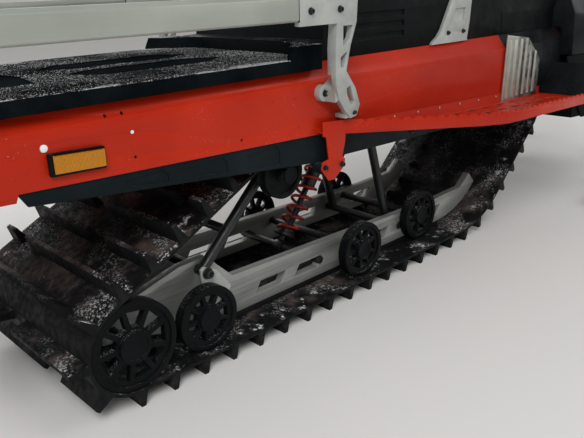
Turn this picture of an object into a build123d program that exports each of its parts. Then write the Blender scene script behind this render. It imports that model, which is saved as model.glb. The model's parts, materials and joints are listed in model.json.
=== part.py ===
from build123d import *
import math
import os

# A two-up wide-track utility snowmobile, standing on its track and two skis.
# Millimetres. +X forward, +Y to the rider's left, +Z up. The origin is on the floor under the middle.
# Side-view places are given as a distance forward of the rear axle; at() turns one into X.

# Driving sizes of the machine
TAIL_END = -440.0
SPINDLE_AHEAD = 2330.0
SKI_TIP = 524.0
REAR_AXLE_X = -(TAIL_END + SPINDLE_AHEAD + SKI_TIP) / 2
SEAT_GAP = 0.3

# Belt and its lugs. Each lug row has one gap, and four rows repeat: the stretches of its lugs across the belt.
TRACK_HALF_WIDTH = 254.0
BELT_THICKNESS = 7.0
BELT_CLEARANCE = 0.3
TRACK_ROWS = 48
LUG_PHASE = 43.0
LUG_HEIGHT = 38.0
LUG_ROOT = 22.0
LUG_TIP = 10.0
LUG_SINK = 2.0
LUG_END_TAPER = 5.0
LUG_ROWS = (
    ((-1.0, 0.59), (0.79, 1.0)),
    ((-1.0, -0.35), (-0.08, 1.0)),
    ((-1.0, 0.08), (0.35, 1.0)),
    ((-1.0, -0.79), (-0.59, 1.0)),
)
DRIVE_LUG_Y = 124.0
DRIVE_LUG_WIDTH = 20.0
DRIVE_LUG_ROOT = 30.0
DRIVE_LUG_TIP = 14.0
DRIVE_LUG_HEIGHT = 14.0

# Wheels and sprockets that the belt runs over: distance ahead of the rear axle, and height
REAR_WHEEL_RADIUS = 100.0
BELT_FLOOR = LUG_HEIGHT + BELT_THICKNESS
REAR_AXLE_Z = BELT_FLOOR + BELT_CLEARANCE + REAR_WHEEL_RADIUS
CARRIER_AHEAD = 435.0
CARRIER_Z = 412.0
CARRIER_RADIUS = 60.0
DRIVE_AHEAD = 1604.0
DRIVE_Z = 398.0
DRIVE_RADIUS = 90.0
DRIVE_SHAFT_RADIUS = 18.0
SPROCKET_Y = 95.0
SPROCKET_WIDTH = 34.0
SPROCKET_RIM = 22.0
NOSE_BEHIND_DRIVE = 384.0
NOSE_AHEAD = DRIVE_AHEAD - NOSE_BEHIND_DRIVE
NOSE_RADIUS = 330.0
BOGIE_RADIUS = 78.0
BOGIE_Z = BELT_FLOOR + BELT_CLEARANCE + BOGIE_RADIUS
AXLE_RADIUS = 11.0
WHEEL_WIDTH = 26.0
WHEEL_DISH = 5.0
WHEEL_SPOKES = 9
OUTER_WHEEL_Y = TRACK_HALF_WIDTH - WHEEL_WIDTH / 2 - 4.0
BOGIE_PLACES = ((200.0, OUTER_WHEEL_Y - 14.0), (740.0, OUTER_WHEEL_Y - 14.0), (1080.0, OUTER_WHEEL_Y - 60.0))
RAIL_Y = 150.0
RAIL_THICKNESS = 22.0

# Tunnel, the folded sheet that covers the track, and its assembly holes: distance ahead, height, radius
TUNNEL_HALF_WIDTH = 275.0
TUNNEL_TOP_Z = 655.0
TUNNEL_BEND_Z = 615.0
TUNNEL_BEVEL = 30.0
TUNNEL_WALL = 3.0
TUNNEL_REAR = -330.0
TUNNEL_PAST_DRIVE = 211.0
TUNNEL_FRONT = DRIVE_AHEAD + TUNNEL_PAST_DRIVE
TUNNEL_SILL_Z = 512.0
SILL_SLOPE = -0.036
TUNNEL_NOSE_DROP_Z = 360.0
TUNNEL_HOLES = (
    (-133.0, 585.0, 7.0),
    (33.0, 584.0, 3.2),
    (-14.0, 620.0, 3.2),
    (19.0, 620.0, 3.2),
    (35.0, 537.0, 3.2),
    (289.0, 522.0, 3.2),
)

# Cargo deck: skirted tray, raised cheeks at its front corners, grip slots and recessed panels
DECK_HALF_WIDTH = 285.0
DECK_TOP_Z = 671.0
DECK_SKIRT = 27.0
DECK_FRONT = 528.0
DECK_CHEEK_RISE = 28.0
DECK_PANEL_DEPTH = 3.0
DECK_SLOT_START = -132.0
DECK_SLOT_PITCH = 88.0
DECK_SLOT_LENGTH = 48.0
DECK_SLOT_WIDTH = 9.0
DECK_SLOT_Y = 214.0
DECK_HOLES_MIDDLE = 140.0
DECK_HOLES_X = 420.0
DECK_HOLES_Y = 400.0
DECK_HOLE_RADIUS = 5.5

# Cargo rack and its cast brackets
RACK_FACE_Y = 340.0
RACK_LOW_Z = 753.0
RACK_HEIGHT = 53.0
RACK_THICKNESS = 26.0
RACK_FRONT = 404.0
RACK_REAR = -300.0
RACK_EDGE = 8.0
RACK_PLATE_Y = 14.0
RACK_FLANGE_Y = 25.0
RACK_FOOT_Y = 312.0
RACK_EAR = (529.0, 590.0)
RACK_EAR_RADIUS = 19.0
RACK_EAR_DEPTH = 16.0

# Tunnel guards
GUARD_REAR = -186.0
GUARD_REAR_Z = 494.0
GUARD_BEND = 520.0
GUARD_LOW_Z = 425.0

# Footwell plates
PLATE_REAR = 1366.0
PLATE_LENGTH = 238.0
PLATE_TOP_Z = 656.0

# Running boards
BOARD_REAR = 517.0
BOARD_NARROW_Y = 295.0
BOARD_FLARE_START = 600.0
BOARD_FLARE_END = 1060.0
BOARD_WIDE_Y = 470.0
BOARD_FRONT = 1640.0
BOARD_SHEET = 3.0
BOARD_FLANGE = 16.0
BOARD_FLANGE_FRONT = 1630.0
BOARD_REAR_Z = 500.5
BOARD_REAR_SLOPE = -0.072
BOARD_FRONT_SLOPE = -0.034
BOARD_BEND = 980.0
EDGE_BELOW = 10.0
EDGE_ABOVE = 24.0
TOOTH_PITCH = 32.0
TOOTH_DEPTH = 5.0
TOOTH_START = 640.0
SLOT_PITCH = 82.0
SLOT_LENGTH = 56.0
SLOT_HALF_WIDTH = 9.0

# Cross shafts that tie the skid's arms and shock to its rails: distance ahead, height
SKID_PIVOT_RADIUS = 11.0
SKID_REAR_PIVOT = (230.0, 214.0)
SKID_FRONT_PIVOT = (1000.0, 104.0)
SKID_SHOCK_PIVOT = (640.0, 104.0)
SKID_FRONT_TOP = (900.0, 438.0)
SKID_PIVOTS = (SKID_REAR_PIVOT, SKID_FRONT_PIVOT, SKID_SHOCK_PIVOT)

# Seats, their base and the console ahead of them
SEAT_REAR = DECK_FRONT + SEAT_GAP
SEAT_FLOOR_Z = TUNNEL_TOP_Z + SEAT_GAP
SEAT_BASE_HALF = TUNNEL_HALF_WIDTH - TUNNEL_BEVEL - 2.0
SEAT_BASE_START = 596.0
SEAT_BASE_END = 1400.0
SEAT_BASE_TOP = 800.0
SEAT_BASE_FALL = 30.0
SEAT_STEP_Z = 702.0
CONSOLE_REAR = SEAT_BASE_END + 4.0

# Console sections: distance ahead, knee half width and height, top half width and height, crown height
CONSOLE_SECTIONS = (
    (CONSOLE_REAR, 225.0, 770.0, 130.0, 852.0, 868.0),
    (1480.0, 205.0, 790.0, 140.0, 900.0, 925.0),
    (1610.0, 222.0, 785.0, 145.0, 905.0, 930.0),
    (1760.0, 262.0, 775.0, 150.0, 895.0, 910.0),
)

# Hood sections: distance ahead, half width at the sill, waist half width and height, shoulder half width
# and height, top half width and height, crown height
HOOD_SILL_Z = 560.0
SHELL_WALL = 5.0
HOOD_SECTIONS = (
    (1770.0, 322.0, 316.0, 700.0, 268.0, 815.0, 140.0, 905.0, 914.0),
    (1900.0, 345.0, 342.0, 690.0, 305.0, 815.0, 180.0, 958.0, 972.0),
    (2100.0, 372.0, 370.0, 672.0, 332.0, 792.0, 205.0, 930.0, 950.0),
    (2350.0, 358.0, 356.0, 650.0, 314.0, 742.0, 205.0, 850.0, 872.0),
    (2560.0, 304.0, 300.0, 625.0, 262.0, 692.0, 180.0, 762.0, 784.0),
    (2680.0, 222.0, 217.0, 605.0, 188.0, 652.0, 140.0, 700.0, 714.0),
    (2735.0, 132.0, 128.0, 598.0, 114.0, 626.0, 90.0, 655.0, 662.0),
)
HOOD_REAR = HOOD_SECTIONS[0][0]
HOOD_FRONT = HOOD_SECTIONS[-1][0]
LAMP_PLAN = ((2588.0, 72.0, -1, -1), (2606.0, 206.0, -1, 1), (2664.0, 196.0, 1, 1), (2722.0, 76.0, 1, -1))
LAMP_LOW_Z = 638.0
LAMP_DEPTH = 26.0
VENT_AHEAD = 1960.0
VENT_PITCH = 44.0
VENT_COUNT = 4

# Lower body sides: distance ahead and half width in plan
SIDE_WALL = 6.0
BULKHEAD_REAR = 2296.0
ENGINE_FRONT = BULKHEAD_REAR - 246.0
BULKHEAD_FRONT = 2560.0
BULKHEAD_HALF = 140.0
SIDE_PLAN = (
    (1640.0, 300.0),
    (1770.0, 322.0),
    (1900.0, 345.0),
    (2100.0, 372.0),
    (BULKHEAD_REAR - SEAT_GAP, 362.0),
)

# Steering geometry. Each ski turns about an axis raked by the caster angle, and the crank's axis is
# parallel to it, so crank, rods and ski arms make parallelograms that close at every angle.
SKI_Y = 480.0
SKI_PIVOT_Z = 118.0
CASTER_DEG = 18.0
CASTER = math.radians(CASTER_DEG)
STEER_AXIS = (-math.sin(CASTER), 0.0, math.cos(CASTER))
STEER_BACK = (-math.cos(CASTER), 0.0, -math.sin(CASTER))
CRANK_PLANE = 223.0
CRANK_ARM = 90.0
CRANK_PIN_RADIUS = 9.0
ROD_OFFSET = 13.0
ROD_SPREAD = 18.0
ROD_PIN_RADIUS = 5.5
ARM_THICKNESS = 10.0
LOWER_SLEEVE = (90.0, 124.0)
UPPER_SLEEVE = (290.0, 322.0)
KINGPIN_RADIUS = 14.0
SLEEVE_RADIUS = 24.0
SLEEVE_CHAMFER = 3.0

# Front suspension: arm pivots on the bulkhead (distance ahead, height) and shock ends
ARM_BUSH_Y = BULKHEAD_HALF + SEAT_GAP + 17.0
ARM_TUBE_RADIUS = 12.0
LOWER_ARM_PIVOTS = ((2326.0, 268.0), (2500.0, 268.0))
UPPER_ARM_PIVOTS = ((2330.0, 472.0), (2524.0, 452.0))
SHOCK_AHEAD = 2355.0
SHOCK_TOP_Y = 205.0
SHOCK_TOP_Z = 620.0
SHOCK_PIN_RADIUS = 9.0
SHOCK_FOOT = (312.0, 244.0)
SHOCK_TURNS = 6

# Skis, measured from the spindle
SKI_TAIL = -430.0
SKI_HALF_WIDTH = 88.0
SKI_TOP_Z = 38.0
SKI_SOLE_Z = 24.0

# Handlebar: its post, its pivot and the end of the bar (distance ahead, y, height)
POST_RADIUS = 16.0
POST_LOW_Z = 690.0
BAR_PIVOT_AHEAD = 1690.0
BAR_PIVOT_Z = 1010.0
BAR_RAKE_DEG = 32.0
BAR_AXIS = (-math.sin(math.radians(BAR_RAKE_DEG)), 0.0, math.cos(math.radians(BAR_RAKE_DEG)))
BAR_RADIUS = 11.0
BAR_END = (1590.0, 380.0, 1122.0)

# Windshield
SCREEN_LEAN = math.tan(math.radians(36.0))
SCREEN_THICKNESS = 4.0
SCREEN_HALF_WIDTH = 285.0
SCREEN_TOP = 1360.0
SCREEN_EDGE_AHEAD = 2280.0
SCREEN_BOW = 120.0

# Bumpers and the tow tongue
BUMPER_RADIUS = 13.0
BUMPER_Z = 586.0
BUMPER_TAIL = -384.0
FRONT_BUMPER_AHEAD = 2745.0
FRONT_BUMPER_Z = 352.0
FRONT_HOOP_TOP_Z = 548.0
FRONT_HOOP_Y = 118.0
HITCH_Z = 556.0
HITCH_THICKNESS = 8.0
HITCH_AHEAD = -415.0
HITCH_HOLE = 10.0


def at(ahead):
    """X of a place given as a distance ahead of the rear axle."""
    return REAR_AXLE_X + ahead


def sill_z(ahead):
    """Height of the tunnel's lower edge."""
    return TUNNEL_SILL_Z + SILL_SLOPE * ahead


def side_prism(points, y_low, y_high):
    """A side outline of (distance ahead, height) points, carried across from y_low to y_high."""
    outline = Polyline(*[(at(a), y_low, z) for a, z in points], close=True)
    return extrude(make_face(outline), amount=y_high - y_low, dir=(0, 1, 0))


def plan_prism(points, z_low, z_high):
    """A plan outline of (distance ahead, y) points, carried up from z_low to z_high."""
    outline = Polyline(*[(at(a), y, z_low) for a, y in points], close=True)
    return extrude(make_face(outline), amount=z_high - z_low, dir=(0, 0, 1))


def block(ahead_low, ahead_high, y_low, y_high, z_low, z_high):
    """A plain rectangular block."""
    size = (ahead_high - ahead_low, y_high - y_low, z_high - z_low)
    middle = (at((ahead_low + ahead_high) / 2), (y_low + y_high) / 2, (z_low + z_high) / 2)
    return Pos(*middle) * Box(*size)


def rod(start, end, radius):
    """A round bar between two (distance ahead, y, z) points."""
    a = Vector(at(start[0]), start[1], start[2])
    b = Vector(at(end[0]), end[1], end[2])
    bar = Cylinder(radius, (b - a).length, align=(Align.CENTER, Align.CENTER, Align.MIN))
    return Plane(origin=a, z_dir=b - a) * bar


def cross_rod(ahead, z, y_low, y_high, radius):
    """A round bar across the machine."""
    return rod((ahead, y_low, z), (ahead, y_high, z), radius)


def bent_tube(points, bend, radius):
    """A round tube along (distance ahead, y, z) points with rounded corners."""
    path = FilletPolyline(*[(at(a), y, z) for a, y, z in points], radius=bend)
    start = Plane(origin=path @ 0, z_dir=path % 0)
    return sweep(start * Circle(radius), path=path)


def both_sides(piece):
    """The piece and its mirror image on the other side."""
    return Part() + [piece, mirror(piece, about=Plane.XZ)]


def section_loft(stations, outline):
    """A ruled loft through outlines of (y, z) points that outline() gives for each station row."""
    faces = []
    for row in stations:
        points = outline(row)
        faces.append(make_face(Polyline(*[(at(row[0]), y, z) for y, z in points], close=True)))
    return loft(faces, ruled=True)


# Track belt. The circles it wraps, clockwise from the rear wheel when seen from the right side.
def belt_circles(extra):
    return [
        (0.0, REAR_AXLE_Z, REAR_WHEEL_RADIUS + BELT_CLEARANCE + extra),
        (CARRIER_AHEAD, CARRIER_Z, CARRIER_RADIUS + BELT_CLEARANCE + extra),
        (DRIVE_AHEAD, DRIVE_Z, DRIVE_RADIUS + BELT_CLEARANCE + extra),
        (NOSE_AHEAD, BELT_FLOOR + NOSE_RADIUS, NOSE_RADIUS + extra),
    ]


def belt_runs(extra):
    """Straight runs between the circles, each as its two tangent points."""
    circles = belt_circles(extra)
    runs = []
    for (xa, za, ra), (xb, zb, rb) in zip(circles, circles[1:] + circles[:1]):
        span = math.hypot(xb - xa, zb - za)
        heading = math.atan2(zb - za, xb - xa)
        lean = math.asin((ra - rb) / span)
        normal = heading + math.pi / 2 - lean
        runs.append(
            (
                (xa + ra * math.cos(normal), za + ra * math.sin(normal)),
                (xb + rb * math.cos(normal), zb + rb * math.sin(normal)),
                normal,
            )
        )
    return runs


def belt_pieces(extra):
    """The loop's runs and arcs in order: (kind, start, end, centre, radius, angle at start, angle swept)."""
    circles = belt_circles(extra)
    runs = belt_runs(extra)
    pieces = []
    for i, run in enumerate(runs):
        pieces.append(("run", run[0], run[1], None, 0.0, run[2], 0.0))
        j = (i + 1) % len(circles)
        x, z, radius = circles[j]
        turn = (run[2] - runs[j][2]) % (2 * math.pi)
        pieces.append(("arc", run[1], runs[j][0], (x, z), radius, run[2], turn))
    return pieces


def belt_face(extra, y):
    edges = []
    for kind, start, end, centre, radius, angle, turn in belt_pieces(extra):
        a = (at(start[0]), y, start[1])
        b = (at(end[0]), y, end[1])
        if kind == "run":
            edges.append(Edge.make_line(a, b))
        else:
            half = angle - turn / 2
            middle = (at(centre[0] + radius * math.cos(half)), y, centre[1] + radius * math.sin(half))
            edges.append(Edge.make_three_point_arc(a, middle, b))
    return Face(Wire(edges))


def belt_length(extra):
    total = 0.0
    for kind, start, end, centre, radius, angle, turn in belt_pieces(extra):
        total += math.dist(start, end) if kind == "run" else radius * turn
    return total


def belt_place(extra, distance):
    """Point on the loop and the outward angle there, at a distance along it."""
    distance %= belt_length(extra)
    for kind, start, end, centre, radius, angle, turn in belt_pieces(extra):
        length = math.dist(start, end) if kind == "run" else radius * turn
        if distance <= length:
            if kind == "run":
                share = distance / length
                point = (start[0] + share * (end[0] - start[0]), start[1] + share * (end[1] - start[1]))
                return point, angle
            outward = angle - distance / radius
            return (centre[0] + radius * math.cos(outward), centre[1] + radius * math.sin(outward)), outward
        distance -= length
    raise ValueError("the distance is past the end of the loop")


def frustum(place, outward, middle, root, tip, height):
    """A block that stands on a point of the belt's side view and narrows towards its tip."""
    x, z = place
    foot = Plane(
        origin=(at(x) - LUG_SINK * math.cos(outward), 0, z - LUG_SINK * math.sin(outward)),
        x_dir=(0, 1, 0),
        z_dir=(math.cos(outward), 0, math.sin(outward)),
    )
    low = foot * (Pos(middle, 0, 0) * Rectangle(*root))
    high = foot * (Pos(middle, 0, LUG_SINK + height) * Rectangle(*tip))
    return loft([low.face(), high.face()], ruled=True)


def lug(row):
    """The lugs of one row, on the belt's outer side."""
    place, outward = belt_place(BELT_THICKNESS, LUG_PHASE + row * belt_length(BELT_THICKNESS) / TRACK_ROWS)
    lugs = []
    for share_low, share_high in LUG_ROWS[row % len(LUG_ROWS)]:
        low, high = share_low * TRACK_HALF_WIDTH, share_high * TRACK_HALF_WIDTH
        root = (high - low, LUG_ROOT)
        tip = (high - low - 2 * LUG_END_TAPER, LUG_TIP)
        lugs.append(frustum(place, outward, (low + high) / 2, root, tip, LUG_HEIGHT))
    return lugs


def drive_lug(row):
    """The two guide lugs of one row, on the belt's inner side beside the sprockets."""
    place, outward = belt_place(0.0, LUG_PHASE + row * belt_length(0.0) / TRACK_ROWS)
    root = (DRIVE_LUG_WIDTH, DRIVE_LUG_ROOT)
    tip = (DRIVE_LUG_WIDTH - 4, DRIVE_LUG_TIP)
    inward = outward + math.pi
    return [frustum(place, inward, y, root, tip, DRIVE_LUG_HEIGHT) for y in (-DRIVE_LUG_Y, DRIVE_LUG_Y)]


def make_track():
    """Belt with its lugs, one fixed loop."""
    width = 2 * TRACK_HALF_WIDTH
    outer = extrude(belt_face(BELT_THICKNESS, -TRACK_HALF_WIDTH), amount=width, dir=(0, 1, 0))
    inner = extrude(belt_face(0.0, -TRACK_HALF_WIDTH - 1), amount=width + 2, dir=(0, 1, 0))
    lugs = [piece for row in range(TRACK_ROWS) for piece in lug(row) + drive_lug(row)]
    return (outer - inner).fuse(*lugs)


def wheel(ahead, z, y, radius, spokes, bore):
    """A moulded wheel, dished between hub and rim on both faces, with windows between its spokes."""
    body = Cylinder(radius, WHEEL_WIDTH)
    dish = Cylinder(radius - 12.0, WHEEL_WIDTH) - Cylinder(radius * 0.36, WHEEL_WIDTH)
    body -= Pos(0, 0, WHEEL_WIDTH - WHEEL_DISH) * dish
    body -= Pos(0, 0, -WHEEL_WIDTH + WHEEL_DISH) * dish
    for k in range(spokes):
        corners = []
        low, high = radius * 0.42, radius - 22.0
        for r, share in ((low, 0.3), (high, 0.4), (high, -0.4), (low, -0.3)):
            turn = math.radians((k + share) * 360.0 / spokes)
            corners.append((r * math.cos(turn), r * math.sin(turn), -WHEEL_WIDTH))
        body -= extrude(make_face(Polyline(*corners, close=True)), amount=2 * WHEEL_WIDTH, dir=(0, 0, 1))
    body -= Cylinder(bore, 2 * WHEEL_WIDTH)
    return Pos(at(ahead), y, z) * Rot(90, 0, 0) * body


def make_rear_wheels():
    bore = AXLE_RADIUS + SEAT_GAP
    wheels = []
    for side in (-1, 1):
        wheels.append(wheel(0.0, REAR_AXLE_Z, side * OUTER_WHEEL_Y, REAR_WHEEL_RADIUS, WHEEL_SPOKES, bore))
    return Part() + wheels


def make_bogie_wheels():
    bore = AXLE_RADIUS + SEAT_GAP
    wheels = []
    for ahead, y in BOGIE_PLACES:
        for side in (-1, 1):
            wheels.append(wheel(ahead, BOGIE_Z, side * y, BOGIE_RADIUS, WHEEL_SPOKES, bore))
    return Part() + wheels


def make_carrier_wheels():
    bore = AXLE_RADIUS + SEAT_GAP
    wheels = []
    for side in (-1, 1):
        wheels.append(wheel(CARRIER_AHEAD, CARRIER_Z, side * (OUTER_WHEEL_Y - 4.0), CARRIER_RADIUS, 0, bore))
    return Part() + wheels


def make_wheel_axles():
    """Cross shafts for the rear, bogie and carrier wheels."""
    axles = [cross_rod(0.0, REAR_AXLE_Z, -OUTER_WHEEL_Y - 14, OUTER_WHEEL_Y + 14, AXLE_RADIUS)]
    for ahead, y in BOGIE_PLACES:
        axles.append(cross_rod(ahead, BOGIE_Z, -y - 14, y + 14, AXLE_RADIUS))
    axles.append(cross_rod(CARRIER_AHEAD, CARRIER_Z, -266.0, 266.0, AXLE_RADIUS))
    return Part() + axles


def make_slide_rails():
    """Main rails of the skid with their curved noses, and the wear strips under them."""
    top = BELT_FLOOR + 96.0
    low = BELT_FLOOR + 16.0
    nose_centre_z = BELT_FLOOR + NOSE_RADIUS
    outline = [(215.0, low), (70.0, 106.0), (-26.0, 122.0), (-32.0, 160.0), (-10.0, 182.0)]
    outline += [(92.0, 212.0), (180.0, top + 94), (255.0, top + 96), (330.0, top + 22)]
    outline.append((NOSE_AHEAD - 40, top))
    nose_in = NOSE_RADIUS - 16.0
    for turn in (30, 44):
        c, s = math.cos(math.radians(turn - 90)), math.sin(math.radians(turn - 90))
        outline.append((NOSE_AHEAD + (nose_in - 50) * c, nose_centre_z + (nose_in - 50) * s))
    for turn in (44, 36, 27, 18, 9, 0):
        c, s = math.cos(math.radians(turn - 90)), math.sin(math.radians(turn - 90))
        outline.append((NOSE_AHEAD + nose_in * c, nose_centre_z + nose_in * s))
    rail = side_prism(outline, RAIL_Y - RAIL_THICKNESS / 2, RAIL_Y + RAIL_THICKNESS / 2)
    for ahead in (400.0, 540.0, 840.0, 1120.0):
        window = [(ahead, low + 26), (ahead + 90, low + 26), (ahead + 110, low + 56), (ahead + 20, low + 56)]
        rail -= side_prism(window, RAIL_Y - RAIL_THICKNESS, RAIL_Y + RAIL_THICKNESS)
    for ahead, _ in BOGIE_PLACES:
        rail -= cross_rod(ahead, BOGIE_Z, RAIL_Y - 40, RAIL_Y + 40, AXLE_RADIUS + SEAT_GAP)
    rail -= cross_rod(0.0, REAR_AXLE_Z, RAIL_Y - 40, RAIL_Y + 40, AXLE_RADIUS + SEAT_GAP)
    for ahead, z in SKID_PIVOTS:
        rail -= cross_rod(ahead, z, RAIL_Y - 40, RAIL_Y + 40, SKID_PIVOT_RADIUS + SEAT_GAP)
    return both_sides(rail)


def make_wear_strips():
    low = BELT_FLOOR + BELT_CLEARANCE
    strip = block(230.0, NOSE_AHEAD, RAIL_Y - 12, RAIL_Y + 12, low, BELT_FLOOR + 15.7)
    return both_sides(strip)


def make_tunnel():
    low = TUNNEL_NOSE_DROP_Z
    outer = [
        (-TUNNEL_HALF_WIDTH, low),
        (-TUNNEL_HALF_WIDTH, TUNNEL_BEND_Z),
        (-TUNNEL_HALF_WIDTH + TUNNEL_BEVEL, TUNNEL_TOP_Z),
        (TUNNEL_HALF_WIDTH - TUNNEL_BEVEL, TUNNEL_TOP_Z),
        (TUNNEL_HALF_WIDTH, TUNNEL_BEND_Z),
        (TUNNEL_HALF_WIDTH, low),
    ]
    wall = TUNNEL_WALL
    inner = [
        (-TUNNEL_HALF_WIDTH + wall, low - 1),
        (-TUNNEL_HALF_WIDTH + wall, TUNNEL_BEND_Z - wall * 0.35),
        (-TUNNEL_HALF_WIDTH + TUNNEL_BEVEL + wall * 0.35, TUNNEL_TOP_Z - wall),
        (TUNNEL_HALF_WIDTH - TUNNEL_BEVEL - wall * 0.35, TUNNEL_TOP_Z - wall),
        (TUNNEL_HALF_WIDTH - wall, TUNNEL_BEND_Z - wall * 0.35),
        (TUNNEL_HALF_WIDTH - wall, low - 1),
    ]

    def sheet(points, start, end):
        outline = Polyline(*[(at(start), y, z) for y, z in points], close=True)
        return extrude(make_face(outline), amount=end - start, dir=(1, 0, 0))

    shell = sheet(outer, TUNNEL_REAR, TUNNEL_FRONT) - sheet(inner, TUNNEL_REAR - 1, TUNNEL_FRONT + 1)
    # the lower edge: a step at the tail, the long slope, and the deep sides round the drive axle
    under = [
        (TUNNEL_REAR - 5, 300.0),
        (TUNNEL_REAR - 5, 545.0),
        (TUNNEL_REAR + 40, sill_z(TUNNEL_REAR) - 14),
        (-192.0, sill_z(-192.0) - 14),
        (-186.0, sill_z(-186.0)),
        (1430.0, sill_z(1430.0)),
        (1510.0, TUNNEL_NOSE_DROP_Z),
        (1510.0, 300.0),
    ]
    shell -= side_prism(under, -400.0, 400.0)
    shell -= cross_rod(DRIVE_AHEAD, DRIVE_Z, -400.0, 400.0, 26.0)
    for ahead, z, radius in TUNNEL_HOLES:
        shell -= cross_rod(ahead, z, -400.0, 400.0, radius)
    return shell


def guard_low(ahead):
    """Lower edge of the tunnel guard."""
    if ahead < GUARD_BEND:
        return GUARD_REAR_Z + (ahead - GUARD_REAR) * (GUARD_LOW_Z - GUARD_REAR_Z) / (GUARD_BEND - GUARD_REAR)
    return GUARD_LOW_Z


def make_tunnel_guards():
    outer_y = TUNNEL_HALF_WIDTH - TUNNEL_WALL - SEAT_GAP
    inner_y = outer_y - 6.0
    outline = [
        (GUARD_REAR, sill_z(GUARD_REAR) + 24),
        (GUARD_REAR, sill_z(GUARD_REAR) - 3),
        (GUARD_REAR + 14, guard_low(GUARD_REAR + 14)),
        (505.0, guard_low(505.0)),
        (512.0, GUARD_LOW_Z - 21),
        (540.0, GUARD_LOW_Z - 35),
        (574.0, GUARD_LOW_Z - 35),
        (606.0, GUARD_LOW_Z - 21),
        (620.0, guard_low(620.0)),
        (1440.0, 404.0),
        (1470.0, sill_z(1470.0) + 24),
    ]
    guard = side_prism(outline, inner_y, outer_y)
    for low_a, high_a in ((10.0, 104.0), (158.0, 250.0), (306.0, 400.0)):
        pocket = [
            (low_a, guard_low(low_a) + 10),
            (low_a, sill_z(low_a) - 16),
            (high_a - 12, sill_z(high_a) - 8),
            (high_a, sill_z(high_a) - 20),
            (high_a, guard_low(high_a) + 9),
        ]
        guard -= side_prism(pocket, outer_y - 2.5, outer_y + 1)
    for ahead in (522.0, 582.0):
        guard += cross_rod(ahead, 415.0, outer_y - 1, BOARD_NARROW_Y - BOARD_SHEET - SEAT_GAP, 12.0)
    guard -= cross_rod(CARRIER_AHEAD, CARRIER_Z, inner_y - 5, outer_y + 5, AXLE_RADIUS + SEAT_GAP)
    return both_sides(guard)


def board_z(ahead):
    """Top of a running board's floor, which drops along the seat and levels out towards the toes."""
    if ahead < BOARD_BEND:
        return BOARD_REAR_Z + BOARD_REAR_SLOPE * (ahead - BOARD_REAR)
    return BOARD_REAR_Z + BOARD_REAR_SLOPE * (BOARD_BEND - BOARD_REAR) + BOARD_FRONT_SLOPE * (ahead - BOARD_BEND)


def board_edge_y(ahead):
    if ahead <= BOARD_FLARE_START:
        return BOARD_NARROW_Y
    if ahead >= BOARD_FLARE_END:
        return BOARD_WIDE_Y
    share = (ahead - BOARD_FLARE_START) / (BOARD_FLARE_END - BOARD_FLARE_START)
    return BOARD_NARROW_Y + share * (BOARD_WIDE_Y - BOARD_NARROW_Y)


def board_plan(inset):
    """Plan line of a running board's outer edge, moved inwards."""
    stations = (BOARD_REAR, BOARD_FLARE_START, BOARD_FLARE_END, BOARD_FRONT)
    return [(ahead, board_edge_y(ahead) - inset) for ahead in stations]


def board_side(below, above, teeth):
    """Side outline of a strip that follows the board, from below its top to above it, with teeth if asked."""
    under = [(ahead, board_z(ahead) - below) for ahead in (BOARD_REAR, BOARD_BEND, BOARD_FRONT)]
    over = [(BOARD_REAR, board_z(BOARD_REAR) + above)]
    if teeth:
        for k in range(int((BOARD_FRONT - TOOTH_START) / TOOTH_PITCH)):
            start = TOOTH_START + k * TOOTH_PITCH
            for share, drop in ((0.0, 0.0), (0.08, TOOTH_DEPTH), (0.36, TOOTH_DEPTH), (0.44, 0.0)):
                ahead = start + share * TOOTH_PITCH
                over.append((ahead, board_z(ahead) + above - drop))
    else:
        over.append((BOARD_BEND, board_z(BOARD_BEND) + above))
    over.append((BOARD_FRONT, board_z(BOARD_FRONT) + above))
    return under + over[::-1]


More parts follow.
